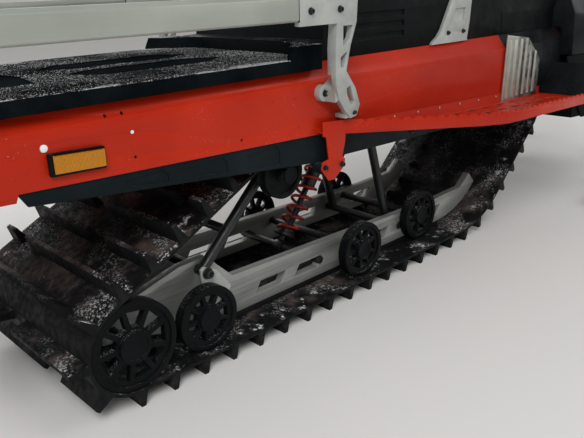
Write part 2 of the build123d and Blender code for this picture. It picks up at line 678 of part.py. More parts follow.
def make_running_boards():
    """Floors with drain openings, toothed outer flanges, rear drop brackets and toe risers."""
    inner = TUNNEL_HALF_WIDTH + SEAT_GAP
    floor_plan = [(BOARD_REAR, inner)] + board_plan(BOARD_SHEET / 2) + [(BOARD_FRONT, inner)]
    board = plan_prism(floor_plan, 300.0, 700.0) & side_prism(board_side(BOARD_SHEET, 0.0, False), 200.0, 600.0)
    ring = board_plan(0.0) + board_plan(BOARD_SHEET)[::-1]
    board += plan_prism(ring, 300.0, 700.0) & side_prism(board_side(EDGE_BELOW, EDGE_ABOVE, True), 200.0, 600.0)
    # flange riveted to the tunnel's side
    stations = (BOARD_REAR, BOARD_BEND, BOARD_FLANGE_FRONT)
    flange = [(a, board_z(a) - BOARD_SHEET) for a in stations]
    flange += [(a, sill_z(a) + BOARD_FLANGE) for a in reversed(stations)]
    board += side_prism(flange, inner, inner + BOARD_SHEET)
    # openings that let snow fall through
    count = int((BOARD_FRONT - 700.0) / SLOT_PITCH)
    for k in range(count):
        ahead = 700.0 + k * SLOT_PITCH
        for row in range(3):
            y = inner + 34.0 + row * 52.0
            if y + SLOT_HALF_WIDTH < board_edge_y(ahead) - 20.0:
                end = ahead + SLOT_LENGTH
                slot = [(ahead, y), (ahead + 10, y + SLOT_HALF_WIDTH), (end - 10, y + SLOT_HALF_WIDTH), (end, y)]
                slot += [(end - 10, y - SLOT_HALF_WIDTH), (ahead + 10, y - SLOT_HALF_WIDTH)]
                board -= plan_prism(slot, 380.0, 560.0)
    # rear drop bracket in the plane of the flange
    low_z = board_z(BOARD_REAR)
    drop = [
        (BOARD_REAR, low_z + 8),
        (BOARD_REAR, low_z - 8),
        (528.0, low_z - 13),
        (536.0, 434.0),
        (514.0, 430.0),
        (510.0, 412.0),
        (534.0, 382.0),
        (556.0, 380.0),
        (592.0, 408.0),
        (594.0, 424.0),
        (584.0, 432.0),
        (594.0, 466.0),
        (598.0, low_z + 8),
    ]
    board += side_prism(drop, BOARD_NARROW_Y - BOARD_SHEET, BOARD_NARROW_Y)
    # toe riser at the front
    front_z = board_z(BOARD_FRONT)
    riser = [
        (BOARD_FRONT - 6, front_z - BOARD_SHEET),
        (BOARD_FRONT - 6, front_z),
        (BOARD_FRONT - 1, front_z),
        (BOARD_FRONT + 84, front_z + 96),
        (BOARD_FRONT + 88, front_z + 93),
        (BOARD_FRONT + 3, front_z - BOARD_SHEET),
    ]
    board += side_prism(riser, inner, BOARD_WIDE_Y - BOARD_SHEET / 2)
    return both_sides(board)


def make_cargo_deck():
    """Moulded tray on the tunnel with recessed panels, grip slots and raised front corners."""
    low = DECK_TOP_Z - DECK_SKIRT
    rear = TUNNEL_REAR - 6.0
    deck = block(rear, DECK_FRONT, -DECK_HALF_WIDTH, DECK_HALF_WIDTH, low, DECK_TOP_Z)
    half = DECK_HALF_WIDTH
    cheek = [(DECK_FRONT - 98, half), (DECK_FRONT, half), (DECK_FRONT, half - 135), (DECK_FRONT - 10, half - 90)]
    cheek += [(DECK_FRONT - 48, half - 51), (DECK_FRONT - 73, half - 24), (DECK_FRONT - 98, half - 12)]
    wall_z = DECK_TOP_Z + DECK_CHEEK_RISE
    raised = plan_prism(cheek, DECK_TOP_Z - 1, wall_z)
    slope = [(DECK_FRONT - 99, DECK_TOP_Z - 1), (DECK_FRONT - 84, wall_z), (DECK_FRONT, wall_z)]
    raised &= side_prism(slope + [(DECK_FRONT, DECK_TOP_Z - 1)], 0.0, DECK_HALF_WIDTH)
    deck += both_sides(raised)
    # the tunnel's bevelled top goes up into the deck's underside
    gap = SEAT_GAP
    slope = TUNNEL_BEVEL / (TUNNEL_TOP_Z - TUNNEL_BEND_Z)
    reach = TUNNEL_HALF_WIDTH - TUNNEL_BEVEL + gap
    hollow = [
        (-reach - slope * (TUNNEL_TOP_Z - low) - 1, low - 1),
        (-reach, TUNNEL_TOP_Z + gap),
        (reach, TUNNEL_TOP_Z + gap),
        (reach + slope * (TUNNEL_TOP_Z - low) + 1, low - 1),
    ]
    outline = Polyline(*[(at(rear) - 4, y, z) for y, z in hollow], close=True)
    deck -= extrude(make_face(outline), amount=DECK_FRONT - rear + 20, dir=(1, 0, 0))
    # recessed panels: one across the tail, and a pointed one on each side of the middle
    floor = DECK_TOP_Z - DECK_PANEL_DEPTH
    tail_panel = [(-300.0, -130.0), (-66.0, -130.0), (-43.0, 0.0), (-66.0, 130.0), (-300.0, 130.0)]
    deck -= plan_prism(tail_panel, floor, DECK_TOP_Z + 5)
    pointed = [(19.0, 66.0), (85.0, 22.0), (330.0, 22.0), (410.0, 66.0), (330.0, 129.0), (85.0, 129.0)]
    deck -= both_sides(plan_prism(pointed, floor, DECK_TOP_Z + 5))
    for k in range(5):
        start = DECK_SLOT_START + k * DECK_SLOT_PITCH
        slot = block(
            start,
            start + DECK_SLOT_LENGTH,
            DECK_SLOT_Y - DECK_SLOT_WIDTH / 2,
            DECK_SLOT_Y + DECK_SLOT_WIDTH / 2,
            DECK_TOP_Z - 8,
            DECK_TOP_Z + 5,
        )
        deck -= both_sides(slot)
    for sx in (-1, 1):
        for sy in (-1, 1):
            x, y = DECK_HOLES_MIDDLE + sx * DECK_HOLES_X / 2, sy * DECK_HOLES_Y / 2
            deck -= Pos(at(x), y, DECK_TOP_Z) * Cylinder(DECK_HOLE_RADIUS, 60.0)
    return deck


def make_rack_rails():
    """Side rails of the cargo rack, joined by a bar across the tail."""
    low_y = RACK_FACE_Y - RACK_THICKNESS
    rail = block(RACK_REAR, RACK_FRONT, low_y, RACK_FACE_Y, RACK_LOW_Z, RACK_LOW_Z + RACK_HEIGHT)
    along = rail.edges().filter_by(Axis.X).sort_by(Axis.Z)
    rail = chamfer(along[2:], RACK_EDGE)
    rail = chamfer(rail.edges().filter_by(Axis.X).sort_by(Axis.Z)[:2], RACK_EDGE / 2)
    tail_z = RACK_LOW_Z + RACK_HEIGHT / 2
    tail = cross_rod(RACK_REAR + 24, tail_z, -low_y - 1, low_y + 1, 15.0)
    return both_sides(rail) + tail


def make_rack_brackets():
    """Cast brackets that carry the rack: in front a plate beside the rail's end, a leg, an ear and a foot."""
    face = RACK_FACE_Y - 1.0
    top = RACK_LOW_Z + RACK_HEIGHT
    edge_z = RACK_LOW_Z - 9.0
    plate = [
        (RACK_FRONT + SEAT_GAP, top),
        (RACK_FRONT + SEAT_GAP, edge_z),
        (519.0, edge_z),
        (514.0, 690.0),
        (514.0, 634.0),
        (526.0, 602.0),
        (538.0, 579.0),
        (566.0, 549.0),
        (592.0, 525.0),
        (614.0, 529.0),
        (618.0, 556.0),
        (591.0, 598.0),
        (548.0, 641.0),
        (563.0, 696.0),
        (583.0, edge_z),
        (588.0, top),
    ]
    side = side_prism(plate, 200.0, 400.0)
    lean = [
        (face, top + 1),
        (face, 640.0),
        (RACK_FOOT_Y, 520.0),
        (RACK_FOOT_Y - RACK_PLATE_Y, 520.0),
        (face - RACK_PLATE_Y, 640.0),
        (face - RACK_PLATE_Y, top + 1),
    ]
    outline = make_face(Polyline(*[(at(300.0), y, z) for y, z in lean], close=True))
    bracket = side & extrude(outline, amount=500.0, dir=(1, 0, 0))
    for window in (
        [(539.0, 738.0), (570.0, 738.0), (561.0, 711.0), (538.0, 694.0)],
        [(552.0, 684.0), (541.0, 650.0), (530.0, 650.0), (530.0, 672.0)],
        [(571.0, 606.0), (596.0, 566.0), (586.0, 558.0), (566.0, 584.0), (560.0, 600.0)],
    ):
        bracket -= side_prism(window, 200.0, 400.0)
    # flange along the leg's rear edge
    flange = [(514.0, 634.0), (514.0, 690.0), (519.0, edge_z), (525.0, edge_z), (520.0, 690.0), (520.0, 634.0)]
    bracket += side_prism(flange, face - RACK_FLANGE_Y, face - 1)
    # ear that bolts to the tunnel's side
    ear_low = TUNNEL_HALF_WIDTH + SEAT_GAP
    ear = cross_rod(*RACK_EAR, ear_low, ear_low + RACK_EAR_DEPTH, RACK_EAR_RADIUS)
    ear_a, ear_z = RACK_EAR
    web = [(ear_a, ear_z - RACK_EAR_RADIUS), (ear_a, ear_z + RACK_EAR_RADIUS), (548.0, 622.0), (566.0, 582.0)]
    ear += side_prism(web, ear_low + 12, RACK_FOOT_Y + 10)
    bracket += ear
    bracket -= cross_rod(ear_a, ear_z, 200.0, ear_low + RACK_EAR_DEPTH + 1, 5.0)
    post = side_prism([(-300.0, 590.0), (-300.0, 760.0), (-244.0, 760.0), (-256.0, 590.0)], 200.0, 400.0)
    under = RACK_LOW_Z - SEAT_GAP
    skirt_y = DECK_HALF_WIDTH + SEAT_GAP + 1
    lean = [(338.0, under), (338.0, 704.0), (302.0, 640.0), (302.0, 600.0), (ear_low, 600.0), (ear_low, 630.0)]
    lean += [(skirt_y, 638.0), (skirt_y, 648.0), (320.0, 712.0), (320.0, under)]
    outline = make_face(Polyline(*[(at(-320.0), y, z) for y, z in lean], close=True))
    bracket += post & extrude(outline, amount=100.0, dir=(1, 0, 0))
    bracket += block(578.0, 614.0, ear_low + 2, RACK_FOOT_Y - 2, 526.0, 536.0)
    return both_sides(bracket)


def make_seat_brackets():
    """Cast plates at the seat base's sides that stand on the tunnel's top edge."""
    low = SEAT_BASE_HALF + SEAT_GAP
    foot_z = TUNNEL_TOP_Z + SEAT_GAP
    strut = [
        (1008.0, foot_z),
        (1014.0, foot_z + 8),
        (1034.0, 674.0),
        (1053.0, 692.0),
        (1100.0, 772.0),
        (1112.0, 790.0),
        (1196.0, 790.0),
        (1201.0, 766.0),
        (1196.0, 711.0),
        (1186.0, foot_z + 8),
        (1188.0, foot_z),
    ]
    piece = side_prism(strut, low, low + 10.0)
    piece -= side_prism([(1102.0, 712.0), (1118.0, 748.0), (1170.0, 748.0), (1168.0, 712.0)], low + 5, low + 20)
    for ahead in (1084.0, 1162.0):
        piece -= cross_rod(ahead, 683.0, low - 1, low + 20, 5.0)
    return both_sides(piece)


def seat_base_z(ahead):
    """Top of the seat base, which falls a little towards the front."""
    return SEAT_BASE_TOP - SEAT_BASE_FALL * (ahead - SEAT_BASE_START) / (SEAT_BASE_END - SEAT_BASE_START)


def make_seat_base():
    """Moulded base under both seats, with the low step behind it."""
    half = SEAT_BASE_HALF
    base = side_prism(
        [
            (SEAT_REAR, SEAT_FLOOR_Z),
            (SEAT_REAR, SEAT_STEP_Z - 2),
            (SEAT_BASE_START - 21, SEAT_STEP_Z),
            (SEAT_BASE_START, seat_base_z(SEAT_BASE_START)),
            (SEAT_BASE_END, seat_base_z(SEAT_BASE_END)),
            (SEAT_BASE_END, SEAT_FLOOR_Z),
        ],
        -half,
        half,
    )
    for k in range(3):
        low = 690.0 + k * 26.0
        for side in (-1, 1):
            face = side * half
            base -= block(614.0, 890.0, min(face, face - side * 5), max(face, face - side * 5), low, low + 14.0)
    return base


def cushion(points, half, round_edge):
    pad = side_prism(points, -half, half)
    return fillet(pad.edges().filter_by(GeomType.LINE), round_edge)


def make_driver_seat():
    rear, front = 1012.0, SEAT_BASE_END
    low_rear, low_front = seat_base_z(rear) + SEAT_GAP, seat_base_z(front) + SEAT_GAP
    outline = [(rear, low_rear), (rear, low_rear + 98), (front - 40, low_front + 92), (front, low_front + 50)]
    return cushion(outline + [(front, low_front)], 205.0, 14.0)


def make_passenger_seat():
    rear, front = 600.0, 1000.0
    low_rear, low_front = seat_base_z(rear) + SEAT_GAP, seat_base_z(front) + SEAT_GAP
    outline = [(rear, low_rear), (rear, low_rear + 120), (front, low_front + 118), (front, low_front)]
    return cushion(outline, 222.0, 14.0)


def make_backrest():
    """Passenger's back pad."""
    return cushion([(574.0, 960.0), (545.0, 1180.0), (595.0, 1190.0), (640.0, 960.0)], 190.0, 12.0)


def make_backrest_frame():
    """Tube that holds the back pad, and the passenger's grab handles."""
    y = SEAT_BASE_HALF + SEAT_GAP + 11.0
    frame = bent_tube([(650.0, y, 690.0), (600.0, y, 880.0), (520.0, y, 1150.0)], 40.0, 11.0)
    frame = both_sides(frame)
    frame += cross_rod(552.6, 1050.0, -y, y, 9.0)
    return frame


def make_console():
    """Cover between the seat and the handlebar, over the fuel tank."""

    def outline(row):
        _, knee, knee_z, top, top_z, crown_z = row
        wide = SEAT_BASE_HALF
        right = [(-wide, SEAT_FLOOR_Z), (-wide, 720.0), (-knee, knee_z), (-top, top_z)]
        return right + [(0.0, crown_z)] + [(-y, z) for y, z in reversed(right)]

    return section_loft(CONSOLE_SECTIONS, outline) - steering_post(POST_RADIUS + 6.0)


def hood_solid(grow):
    """The hood's outside, grown outwards by a distance."""

    def outline(row):
        _, sill, waist, waist_z, shoulder, shoulder_z, top, top_z, crown_z = row
        right = [
            (-sill - grow, HOOD_SILL_Z - max(grow, 0)),
            (-waist - grow, waist_z),
            (-shoulder - grow * 0.9, shoulder_z + grow * 0.4),
            (-top - grow * 0.6, top_z + grow),
        ]
        return right + [(0.0, crown_z + grow)] + [(-y, z) for y, z in reversed(right)]

    rows = [list(row) for row in HOOD_SECTIONS]
    rows[0][0] -= grow
    rows[-1][0] += grow
    return section_loft(rows, outline)


def make_hood():
    """Hollow hood, open below, with slanted vents in its sides and room for the lamps, post and tunnel."""
    shell = hood_solid(0.0)
    shell -= hood_solid(-SHELL_WALL)
    shell -= block(HOOD_REAR - 5, HOOD_FRONT + 5, -400.0, 400.0, HOOD_SILL_Z - 5, HOOD_SILL_Z + 2)
    shell -= steering_post(POST_RADIUS + 6.0)
    shell -= lamp_solid(SEAT_GAP)
    shell -= tunnel_envelope()
    for k in range(VENT_COUNT):
        a = VENT_AHEAD + k * VENT_PITCH
        vent = side_prism([(a, 706.0), (a + 16, 706.0), (a + 42, 772.0), (a + 26, 772.0)], 200.0, 420.0)
        shell -= both_sides(vent)
    return shell


def on_post(z):
    """Distance ahead of the raked steering post's axis at a height."""
    return BAR_PIVOT_AHEAD + (BAR_PIVOT_Z - z) * math.tan(math.radians(BAR_RAKE_DEG))


def steering_post(radius):
    return rod((on_post(POST_LOW_Z), 0.0, POST_LOW_Z), (on_post(BAR_PIVOT_Z), 0.0, BAR_PIVOT_Z), radius)


def lamp_solid(grow):
    """Room that both headlamps take up in the nose of the hood."""
    plan = [(a + fore * grow, y + out * grow) for a, y, fore, out in LAMP_PLAN]
    return both_sides(plan_prism(plan, LAMP_LOW_Z - grow, 820.0))


def tunnel_envelope():
    """Room for the tunnel where it runs on under the hood."""
    half = TUNNEL_HALF_WIDTH + SEAT_GAP
    top = TUNNEL_TOP_Z + SEAT_GAP
    return block(TUNNEL_FRONT - 115, TUNNEL_FRONT + 5, -half, half, 300.0, top)


def make_headlamps():
    """Lamp blocks whose faces follow the hood, a little proud of it."""
    return (lamp_solid(0.0) & hood_solid(1.5)) - hood_solid(-LAMP_DEPTH)


def make_engine():
    """Engine and gearbox as one closed block."""
    return block(TUNNEL_FRONT + 35, ENGINE_FRONT, -190.0, 190.0, 338.3, 640.0)


def make_side_panels():
    """Lower body sides, from the footwells to the front suspension."""
    outer = [(a, y) for a, y in SIDE_PLAN]
    inner = [(a, y - SIDE_WALL) for a, y in reversed(SIDE_PLAN)]
    panel = plan_prism(outer + inner, 300.0, HOOD_SILL_Z - SEAT_GAP)
    cut = [(1500.0, 200.0), (1500.0, 700.0), (1680.0, 700.0), (1726.0, 600.0), (1790.0, 440.0), (1870.0, 330.0)]
    cut += [(2060.0, 330.0), (2110.0, 500.0), (2400.0, 500.0), (2400.0, 200.0)]
    panel -= side_prism(cut, 200.0, 500.0)
    for k in range(3):
        a = 1900.0 + k * 48.0
        panel -= side_prism([(a, 420.0), (a + 18, 420.0), (a + 46, 500.0), (a + 28, 500.0)], 200.0, 500.0)
    return both_sides(panel)


def make_belly_pan():
    """Tray under the engine bay, raised at the front over the steering rods."""
    rear = TUNNEL_FRONT + SEAT_GAP
    front = BULKHEAD_REAR - SEAT_GAP
    gap = SIDE_WALL + SEAT_GAP
    wall = 4.0

    def plan(shrink):
        edge = [(a, y - gap - shrink) for a, y in SIDE_PLAN]
        return plan_prism(edge + [(a, -y) for a, y in reversed(edge)], 200.0, 700.0)

    outer = [(rear, 556.0), (rear, 334.0), (2060.0, 334.0), (2112.0, 504.0), (front, 504.0), (front, 556.0)]
    inner = [(rear + wall, 700.0), (rear + wall, 338.0), (2058.0, 338.0), (2109.0, 508.0), (front - wall, 508.0)]
    inner += [(front - wall, 700.0)]
    tray = side_prism(outer, -400.0, 400.0) & plan(0.0)
    return tray - (side_prism(inner, -400.0, 400.0) & plan(wall))


def make_bulkhead():
    """Front frame that carries the suspension arms: two side plates, a floor and cross tubes."""
    outline = [
        (BULKHEAD_REAR, 240.0),
        (BULKHEAD_REAR, 640.0),
        (2440.0, 640.0),
        (BULKHEAD_FRONT, 480.0),
        (BULKHEAD_FRONT, 300.0),
        (2520.0, 240.0),
    ]
    plate = side_prism(outline, BULKHEAD_HALF - 6, BULKHEAD_HALF)
    plate -= side_prism([(2340.0, 330.0), (2350.0, 440.0), (2500.0, 440.0), (2510.0, 330.0)], 100.0, 200.0)
    frame = both_sides(plate)
    frame += block(BULKHEAD_REAR, 2520.0, -BULKHEAD_HALF, BULKHEAD_HALF, 240.0, 246.0)
    frame += block(BULKHEAD_REAR, BULKHEAD_REAR + 6, -BULKHEAD_HALF, BULKHEAD_HALF, 240.0, 640.0)
    frame += cross_rod(SHOCK_AHEAD, SHOCK_TOP_Z, -230.0, 230.0, SHOCK_PIN_RADIUS)
    # two lugs that hold the steering crank's pin
    for reach in (CRANK_PLANE - 30.0, CRANK_PLANE + 20.0):
        tab = Pos(-28.0, 0, 5.0) * Box(70.0, 50.0, 10.0) + Pos(0, 0, 5.0) * Cylinder(25.0, 10.0)
        frame += steer_plane(0.0, reach) * tab
    pin = Cylinder(CRANK_PIN_RADIUS, 62.0)
    return frame + steer_plane(0.0, CRANK_PLANE) * pin


def steer_plane(y, reach):
    """Work plane square to the steering axis at a reach up it, with x pointing rearwards."""
    origin = (
        at(SPINDLE_AHEAD) + reach * STEER_AXIS[0],
        y,
        SKI_PIVOT_Z + reach * STEER_AXIS[2],
    )
    return Plane(origin=origin, x_dir=STEER_BACK, z_dir=STEER_AXIS)


def steer_point(y, reach):
    """The same origin as (distance ahead, y, z)."""
    return (SPINDLE_AHEAD + reach * STEER_AXIS[0], y, SKI_PIVOT_Z + reach * STEER_AXIS[2])


def rod_pin_plane(y, side, reach):
    """Work plane square to the steering axis on a tie rod's pin, for the arm that turns about the axis at y."""
    return steer_plane(y, reach) * Plane(origin=(CRANK_ARM, -side * ROD_SPREAD, 0))


def steering_arm(y, side):
    """Flat arm with its pin, in the crank's plane, pointing rearwards and a little outwards from the axis at y."""
    reach_out = math.hypot(CRANK_ARM, ROD_SPREAD)
    turn = math.degrees(math.atan2(-side * ROD_SPREAD, CRANK_ARM))
    bar = Rot(0, 0, turn) * (Pos(reach_out / 2, 0, 0) * Box(reach_out, 24.0, ARM_THICKNESS))
    arm = steer_plane(y, CRANK_PLANE) * bar
    arm += rod_pin_plane(y, side, CRANK_PLANE) * Cylinder(13.0, ARM_THICKNESS)
    pin = Pos(0, 0, ROD_OFFSET / 2) * Cylinder(ROD_PIN_RADIUS, ROD_OFFSET + 14.0)
    return arm + rod_pin_plane(y, side, CRANK_PLANE) * pin


def make_steering_crank():
    """Crank that turns on the bulkhead and pushes both tie rods."""
    crank = steering_arm(0.0, 1) + steering_arm(0.0, -1) + steer_plane(0.0, CRANK_PLANE) * Cylinder(22.0, 36.0)
    return crank - steer_plane(0.0, CRANK_PLANE) * Cylinder(CRANK_PIN_RADIUS + SEAT_GAP, 80.0)


def make_tie_rod(side):
    """Tie rod with an eye at each end, above the arms."""
    reach = CRANK_PLANE + ROD_OFFSET
    inner = rod_pin_plane(0.0, side, reach)
    outer = rod_pin_plane(side * SKI_Y, side, reach)
    eye = Cylinder(14.0, 12.0)
    bar = Rot(90, 0, 0) * Cylinder(7.0, SKI_Y - 16.0)
    link = inner * eye + outer * eye + rod_pin_plane(side * SKI_Y / 2, side, reach) * bar
    bore = Cylinder(ROD_PIN_RADIUS + SEAT_GAP, 40.0)
    return link - inner * bore - outer * bore


def make_spindle(side):
    """Upright leg of one ski: kingpin, steering arm, head and the foot that holds the ski's bolt."""
    y = side * SKI_Y

    def length(low, high, radius):
        return steer_plane(y, low) * Cylinder(radius, high - low, align=(Align.CENTER, Align.CENTER, Align.MIN))

    leg = length(18.0, LOWER_SLEEVE[0] - 1, 18.5)
    leg += length(LOWER_SLEEVE[0] - 2, UPPER_SLEEVE[1] + 2, KINGPIN_RADIUS)
    leg += length(LOWER_SLEEVE[1] + 1, UPPER_SLEEVE[0] - 1, 20.0)
    leg += length(UPPER_SLEEVE[1] + 1, UPPER_SLEEVE[1] + 12, 20.0)
    leg += steering_arm(y, side)
    leg += cross_rod(SPINDLE_AHEAD, SKI_PIVOT_Z, y - 19.0, y + 19.0, 24.0)
    return leg - cross_rod(SPINDLE_AHEAD, SKI_PIVOT_Z, y - 60.0, y + 60.0, 8.0 + SEAT_GAP)


def make_ski(side):
    """One ski: curved sole, keels, runner, saddle ears with their bolt, and the loop at the tip."""
    y = side * SKI_Y

    def part_of(points, low, high):
        return side_prism([(SPINDLE_AHEAD + a, z) for a, z in points], y + low, y + high)

    sole = [(SKI_TAIL, SKI_SOLE_Z + 10), (SKI_TAIL + 60, SKI_SOLE_Z), (300.0, SKI_SOLE_Z), (380.0, 34.0)]
    sole += [(450.0, 66.0), (497.0, 112.0), (520.0, 160.0), (508.0, 166.0), (484.0, 124.0), (440.0, 82.0)]
    sole += [(372.0, 48.0)]
    sole += [(300.0, SKI_TOP_Z), (SKI_TAIL + 60, SKI_TOP_Z), (SKI_TAIL, SKI_TOP_Z + 6)]
    ski = part_of(sole, -SKI_HALF_WIDTH, SKI_HALF_WIDTH)
    half = SKI_HALF_WIDTH
    tip = [(SKI_TAIL, -half + 16), (SKI_TAIL + 40, -half), (330.0, -half), (470.0, -half + 30), (521.0, -26.0)]
    tip += [(a, -b) for a, b in reversed(tip)]
    ski &= plan_prism([(SPINDLE_AHEAD + a, y + b) for a, b in tip], 0.0, 300.0)
    keel = [(SKI_TAIL + 70, SKI_SOLE_Z + 1), (SKI_TAIL + 90, 9.0), (290.0, 9.0), (340.0, SKI_SOLE_Z + 4)]
    for low, high in ((-13.0, 13.0), (-76.0, -66.0), (66.0, 76.0)):
        ski += part_of(keel, low, high)
    ski += part_of([(-200.0, 10.0), (-188.0, 0.0), (188.0, 0.0), (200.0, 10.0)], -4.0, 4.0)
    for low, high in ((-46.0, -38.0), (38.0, 46.0)):
        ski += part_of([(-330.0, 36.0), (-260.0, 62.0), (230.0, 62.0), (320.0, 37.0)], low, high)
    for low, high in ((-27.0, -19.3), (19.3, 27.0)):
        ski += part_of([(-80.0, 37.0), (-26.0, 128.0), (0.0, 144.0), (26.0, 128.0), (80.0, 37.0)], low, high)
    ski += cross_rod(SPINDLE_AHEAD, SKI_PIVOT_Z, y - 34.0, y + 34.0, 8.0)
    loop = [(250.0, 36.0), (420.0, 176.0), (505.0, 190.0), (524.0, 170.0), (505.0, 148.0), (486.0, 128.0)]
    loop += [(474.0, 116.0), (496.0, 160.0), (482.0, 168.0), (430.0, 160.0), (282.0, 38.0)]
    ski += part_of(loop, -12.0, 12.0)
    return ski


def sleeve_point(y, sleeve, inward):
    """A point on the inner face of a kingpin sleeve."""
    a, _, z = steer_point(y, (sleeve[0] + sleeve[1]) / 2)
    return (a, y - inward, z)


def make_front_arms():
    """Lower and upper suspension arms of both sides, each with its sleeve, two tubes and two bushes."""
    arms = Part()
    for sleeve, pivots in ((LOWER_SLEEVE, LOWER_ARM_PIVOTS), (UPPER_SLEEVE, UPPER_ARM_PIVOTS)):
        height = sleeve[1] - sleeve[0]
        start = sleeve_point(SKI_Y, sleeve, 20.0)
        for ahead, z in pivots:
            arms += rod(start, (ahead, ARM_BUSH_Y + 8, z), ARM_TUBE_RADIUS)
            arms += rod((ahead - 24, ARM_BUSH_Y, z), (ahead + 24, ARM_BUSH_Y, z), 17.0)
        sleeve_ring = steer_plane(SKI_Y, (sleeve[0] + sleeve[1]) / 2) * Cylinder(SLEEVE_RADIUS, height)
        arms += sleeve_ring
        bore = Cylinder(KINGPIN_RADIUS + SEAT_GAP, height + 60)
        arms -= steer_plane(SKI_Y, (sleeve[0] + sleeve[1]) / 2) * bore
    pin_y, pin_z = SHOCK_FOOT
    arms += rod((2300.0, pin_y, pin_z), (2400.0, pin_y, pin_z), SHOCK_PIN_RADIUS)
    return both_sides(arms)


def shock(low, high, low_axis, high_axis, spring_radius, pin_radius):
    """Damper with an eye at each end and a coil spring, between two pin centres (distance ahead, y, z)."""
    a = Vector(at(low[0]), low[1], low[2])
    b = Vector(at(high[0]), high[1], high[2])
    length = (b - a).length
    profile = [(0.0, 20.0), (9.0, 20.0), (9.0, 46.0), (spring_radius, 46.0)]
    pitch = (length * 0.62 - 50.0) / SHOCK_TURNS
    for k in range(SHOCK_TURNS):
        z = 50.0 + k * pitch
        profile += [(spring_radius, z), (spring_radius, z + pitch * 0.5), (spring_radius - 7, z + pitch * 0.75)]
    end = 50.0 + SHOCK_TURNS * pitch
    profile += [(spring_radius, end), (spring_radius, end + 8), (21.0, end + 8)]
    profile += [(21.0, length - 24), (0.0, length - 24)]
    body = revolve(Plane.XZ * make_face(Polyline(*profile, close=True)), axis=Axis.Z)
    piece = Plane(origin=a, z_dir=b - a) * body
    piece += rod(low, high, 8.0)
    for point, axis in ((low, low_axis), (high, high_axis)):
        turn = Plane(origin=(at(point[0]), point[1], point[2]), z_dir=axis)
        piece += turn * Cylinder(18.0, 26.0)
        piece -= turn * Cylinder(pin_radius + SEAT_GAP, 60.0)
    return piece


def make_front_shocks():
    low = (SHOCK_AHEAD, SHOCK_FOOT[0], SHOCK_FOOT[1])
    high = (SHOCK_AHEAD, SHOCK_TOP_Y, SHOCK_TOP_Z)
    return both_sides(shock(low, high, (1, 0, 0), (0, 1, 0), 30.0, SHOCK_PIN_RADIUS))


def make_skid_arms():
    """Suspension arms inside the belt, with their cross shafts."""
    rear_low, rear_high = SKID_REAR_PIVOT, (CARRIER_AHEAD, CARRIER_Z)
    front_low, front_high = SKID_FRONT_PIVOT, SKID_FRONT_TOP
    arms = Part()
    for y in (-176.0, 176.0):
        arms += rod((rear_low[0], y, rear_low[1]), (rear_high[0], y, rear_high[1]), 13.0)
        arms += cross_rod(rear_high[0], rear_high[1], y - 15, y + 15, 22.0)
    arms += cross_rod(rear_low[0], rear_low[1], -190.0, 190.0, SKID_PIVOT_RADIUS)
    arms += cross_rod(310.0, 291.0, -176.0, 176.0, 11.0)
    arms -= cross_rod(rear_high[0], rear_high[1], -200.0, 200.0, AXLE_RADIUS + SEAT_GAP)
    for y in (-112.0, 112.0):
        arms += rod((front_low[0], y, front_low[1]), (front_high[0], y, front_high[1]), 13.0)
    arms += cross_rod(front_low[0], front_low[1], -163.0, 163.0, SKID_PIVOT_RADIUS)
    arms += cross_rod(front_high[0], front_high[1], -265.4, 265.4, SKID_PIVOT_RADIUS)
    arms += cross_rod(SKID_SHOCK_PIVOT[0], SKID_SHOCK_PIVOT[1], -163.0, 163.0, SKID_PIVOT_RADIUS)
    return arms


def make_skid_shock():
    low = (SKID_SHOCK_PIVOT[0], 0.0, SKID_SHOCK_PIVOT[1])
    high = (SKID_FRONT_TOP[0], 0.0, SKID_FRONT_TOP[1])
    return shock(low, high, (0, 1, 0), (0, 1, 0), 34.0, SKID_PIVOT_RADIUS)


def make_drive_shaft():
    """Drive axle with two toothed sprockets."""
    end = TUNNEL_HALF_WIDTH - 2.0
    shaft = cross_rod(DRIVE_AHEAD, DRIVE_Z, -end, end, DRIVE_SHAFT_RADIUS)
    teeth = round(2 * math.pi * DRIVE_RADIUS * TRACK_ROWS / belt_length(0.0))
    recess = Cylinder(DRIVE_RADIUS - SPROCKET_RIM, SPROCKET_WIDTH)
    disc = Cylinder(DRIVE_RADIUS, SPROCKET_WIDTH)
    disc -= Pos(0, 0, SPROCKET_WIDTH - 5.0) * recess
    disc -= Pos(0, 0, -SPROCKET_WIDTH + 5.0) * recess
    for k in range(teeth):
        disc -= Rot(0, 0, k * 360.0 / teeth) * (Pos(DRIVE_RADIUS + 4, 0, 0) * Cylinder(16.0, 40.0))
    for y in (-SPROCKET_Y, SPROCKET_Y):
        shaft += Pos(at(DRIVE_AHEAD), y, DRIVE_Z) * Rot(90, 0, 0) * disc
    return shaft


def make_handlebar():
    """Steering post, clamp and bent bar."""
    left = [(on_post(1046.0), 0.0, 1046.0), (on_post(1046.0), 70.0, 1046.0), (1642.0, 160.0, 1112.0), BAR_END]
    right = [(a, -y, z) for a, y, z in left]
    bar = bent_tube(right[:0:-1] + left[1:], 34.0, BAR_RADIUS)
    bar += rod((on_post(POST_LOW_Z), 0.0, POST_LOW_Z), (on_post(1030.0), 0.0, 1030.0), POST_RADIUS)
    clamp = Box(52.0, 110.0, 44.0)
    bar += Plane(origin=(at(on_post(1044.0)), 0, 1044.0), z_dir=BAR_AXIS) * clamp
    return bar


def along_bar(y):
    """A place on the bar's straight end stretch, at a distance from the middle."""
    share = (y - 160.0) / (BAR_END[1] - 160.0)
    return (1642.0 + share * (BAR_END[0] - 1642.0), y, 1112.0 + share * (BAR_END[2] - 1112.0))


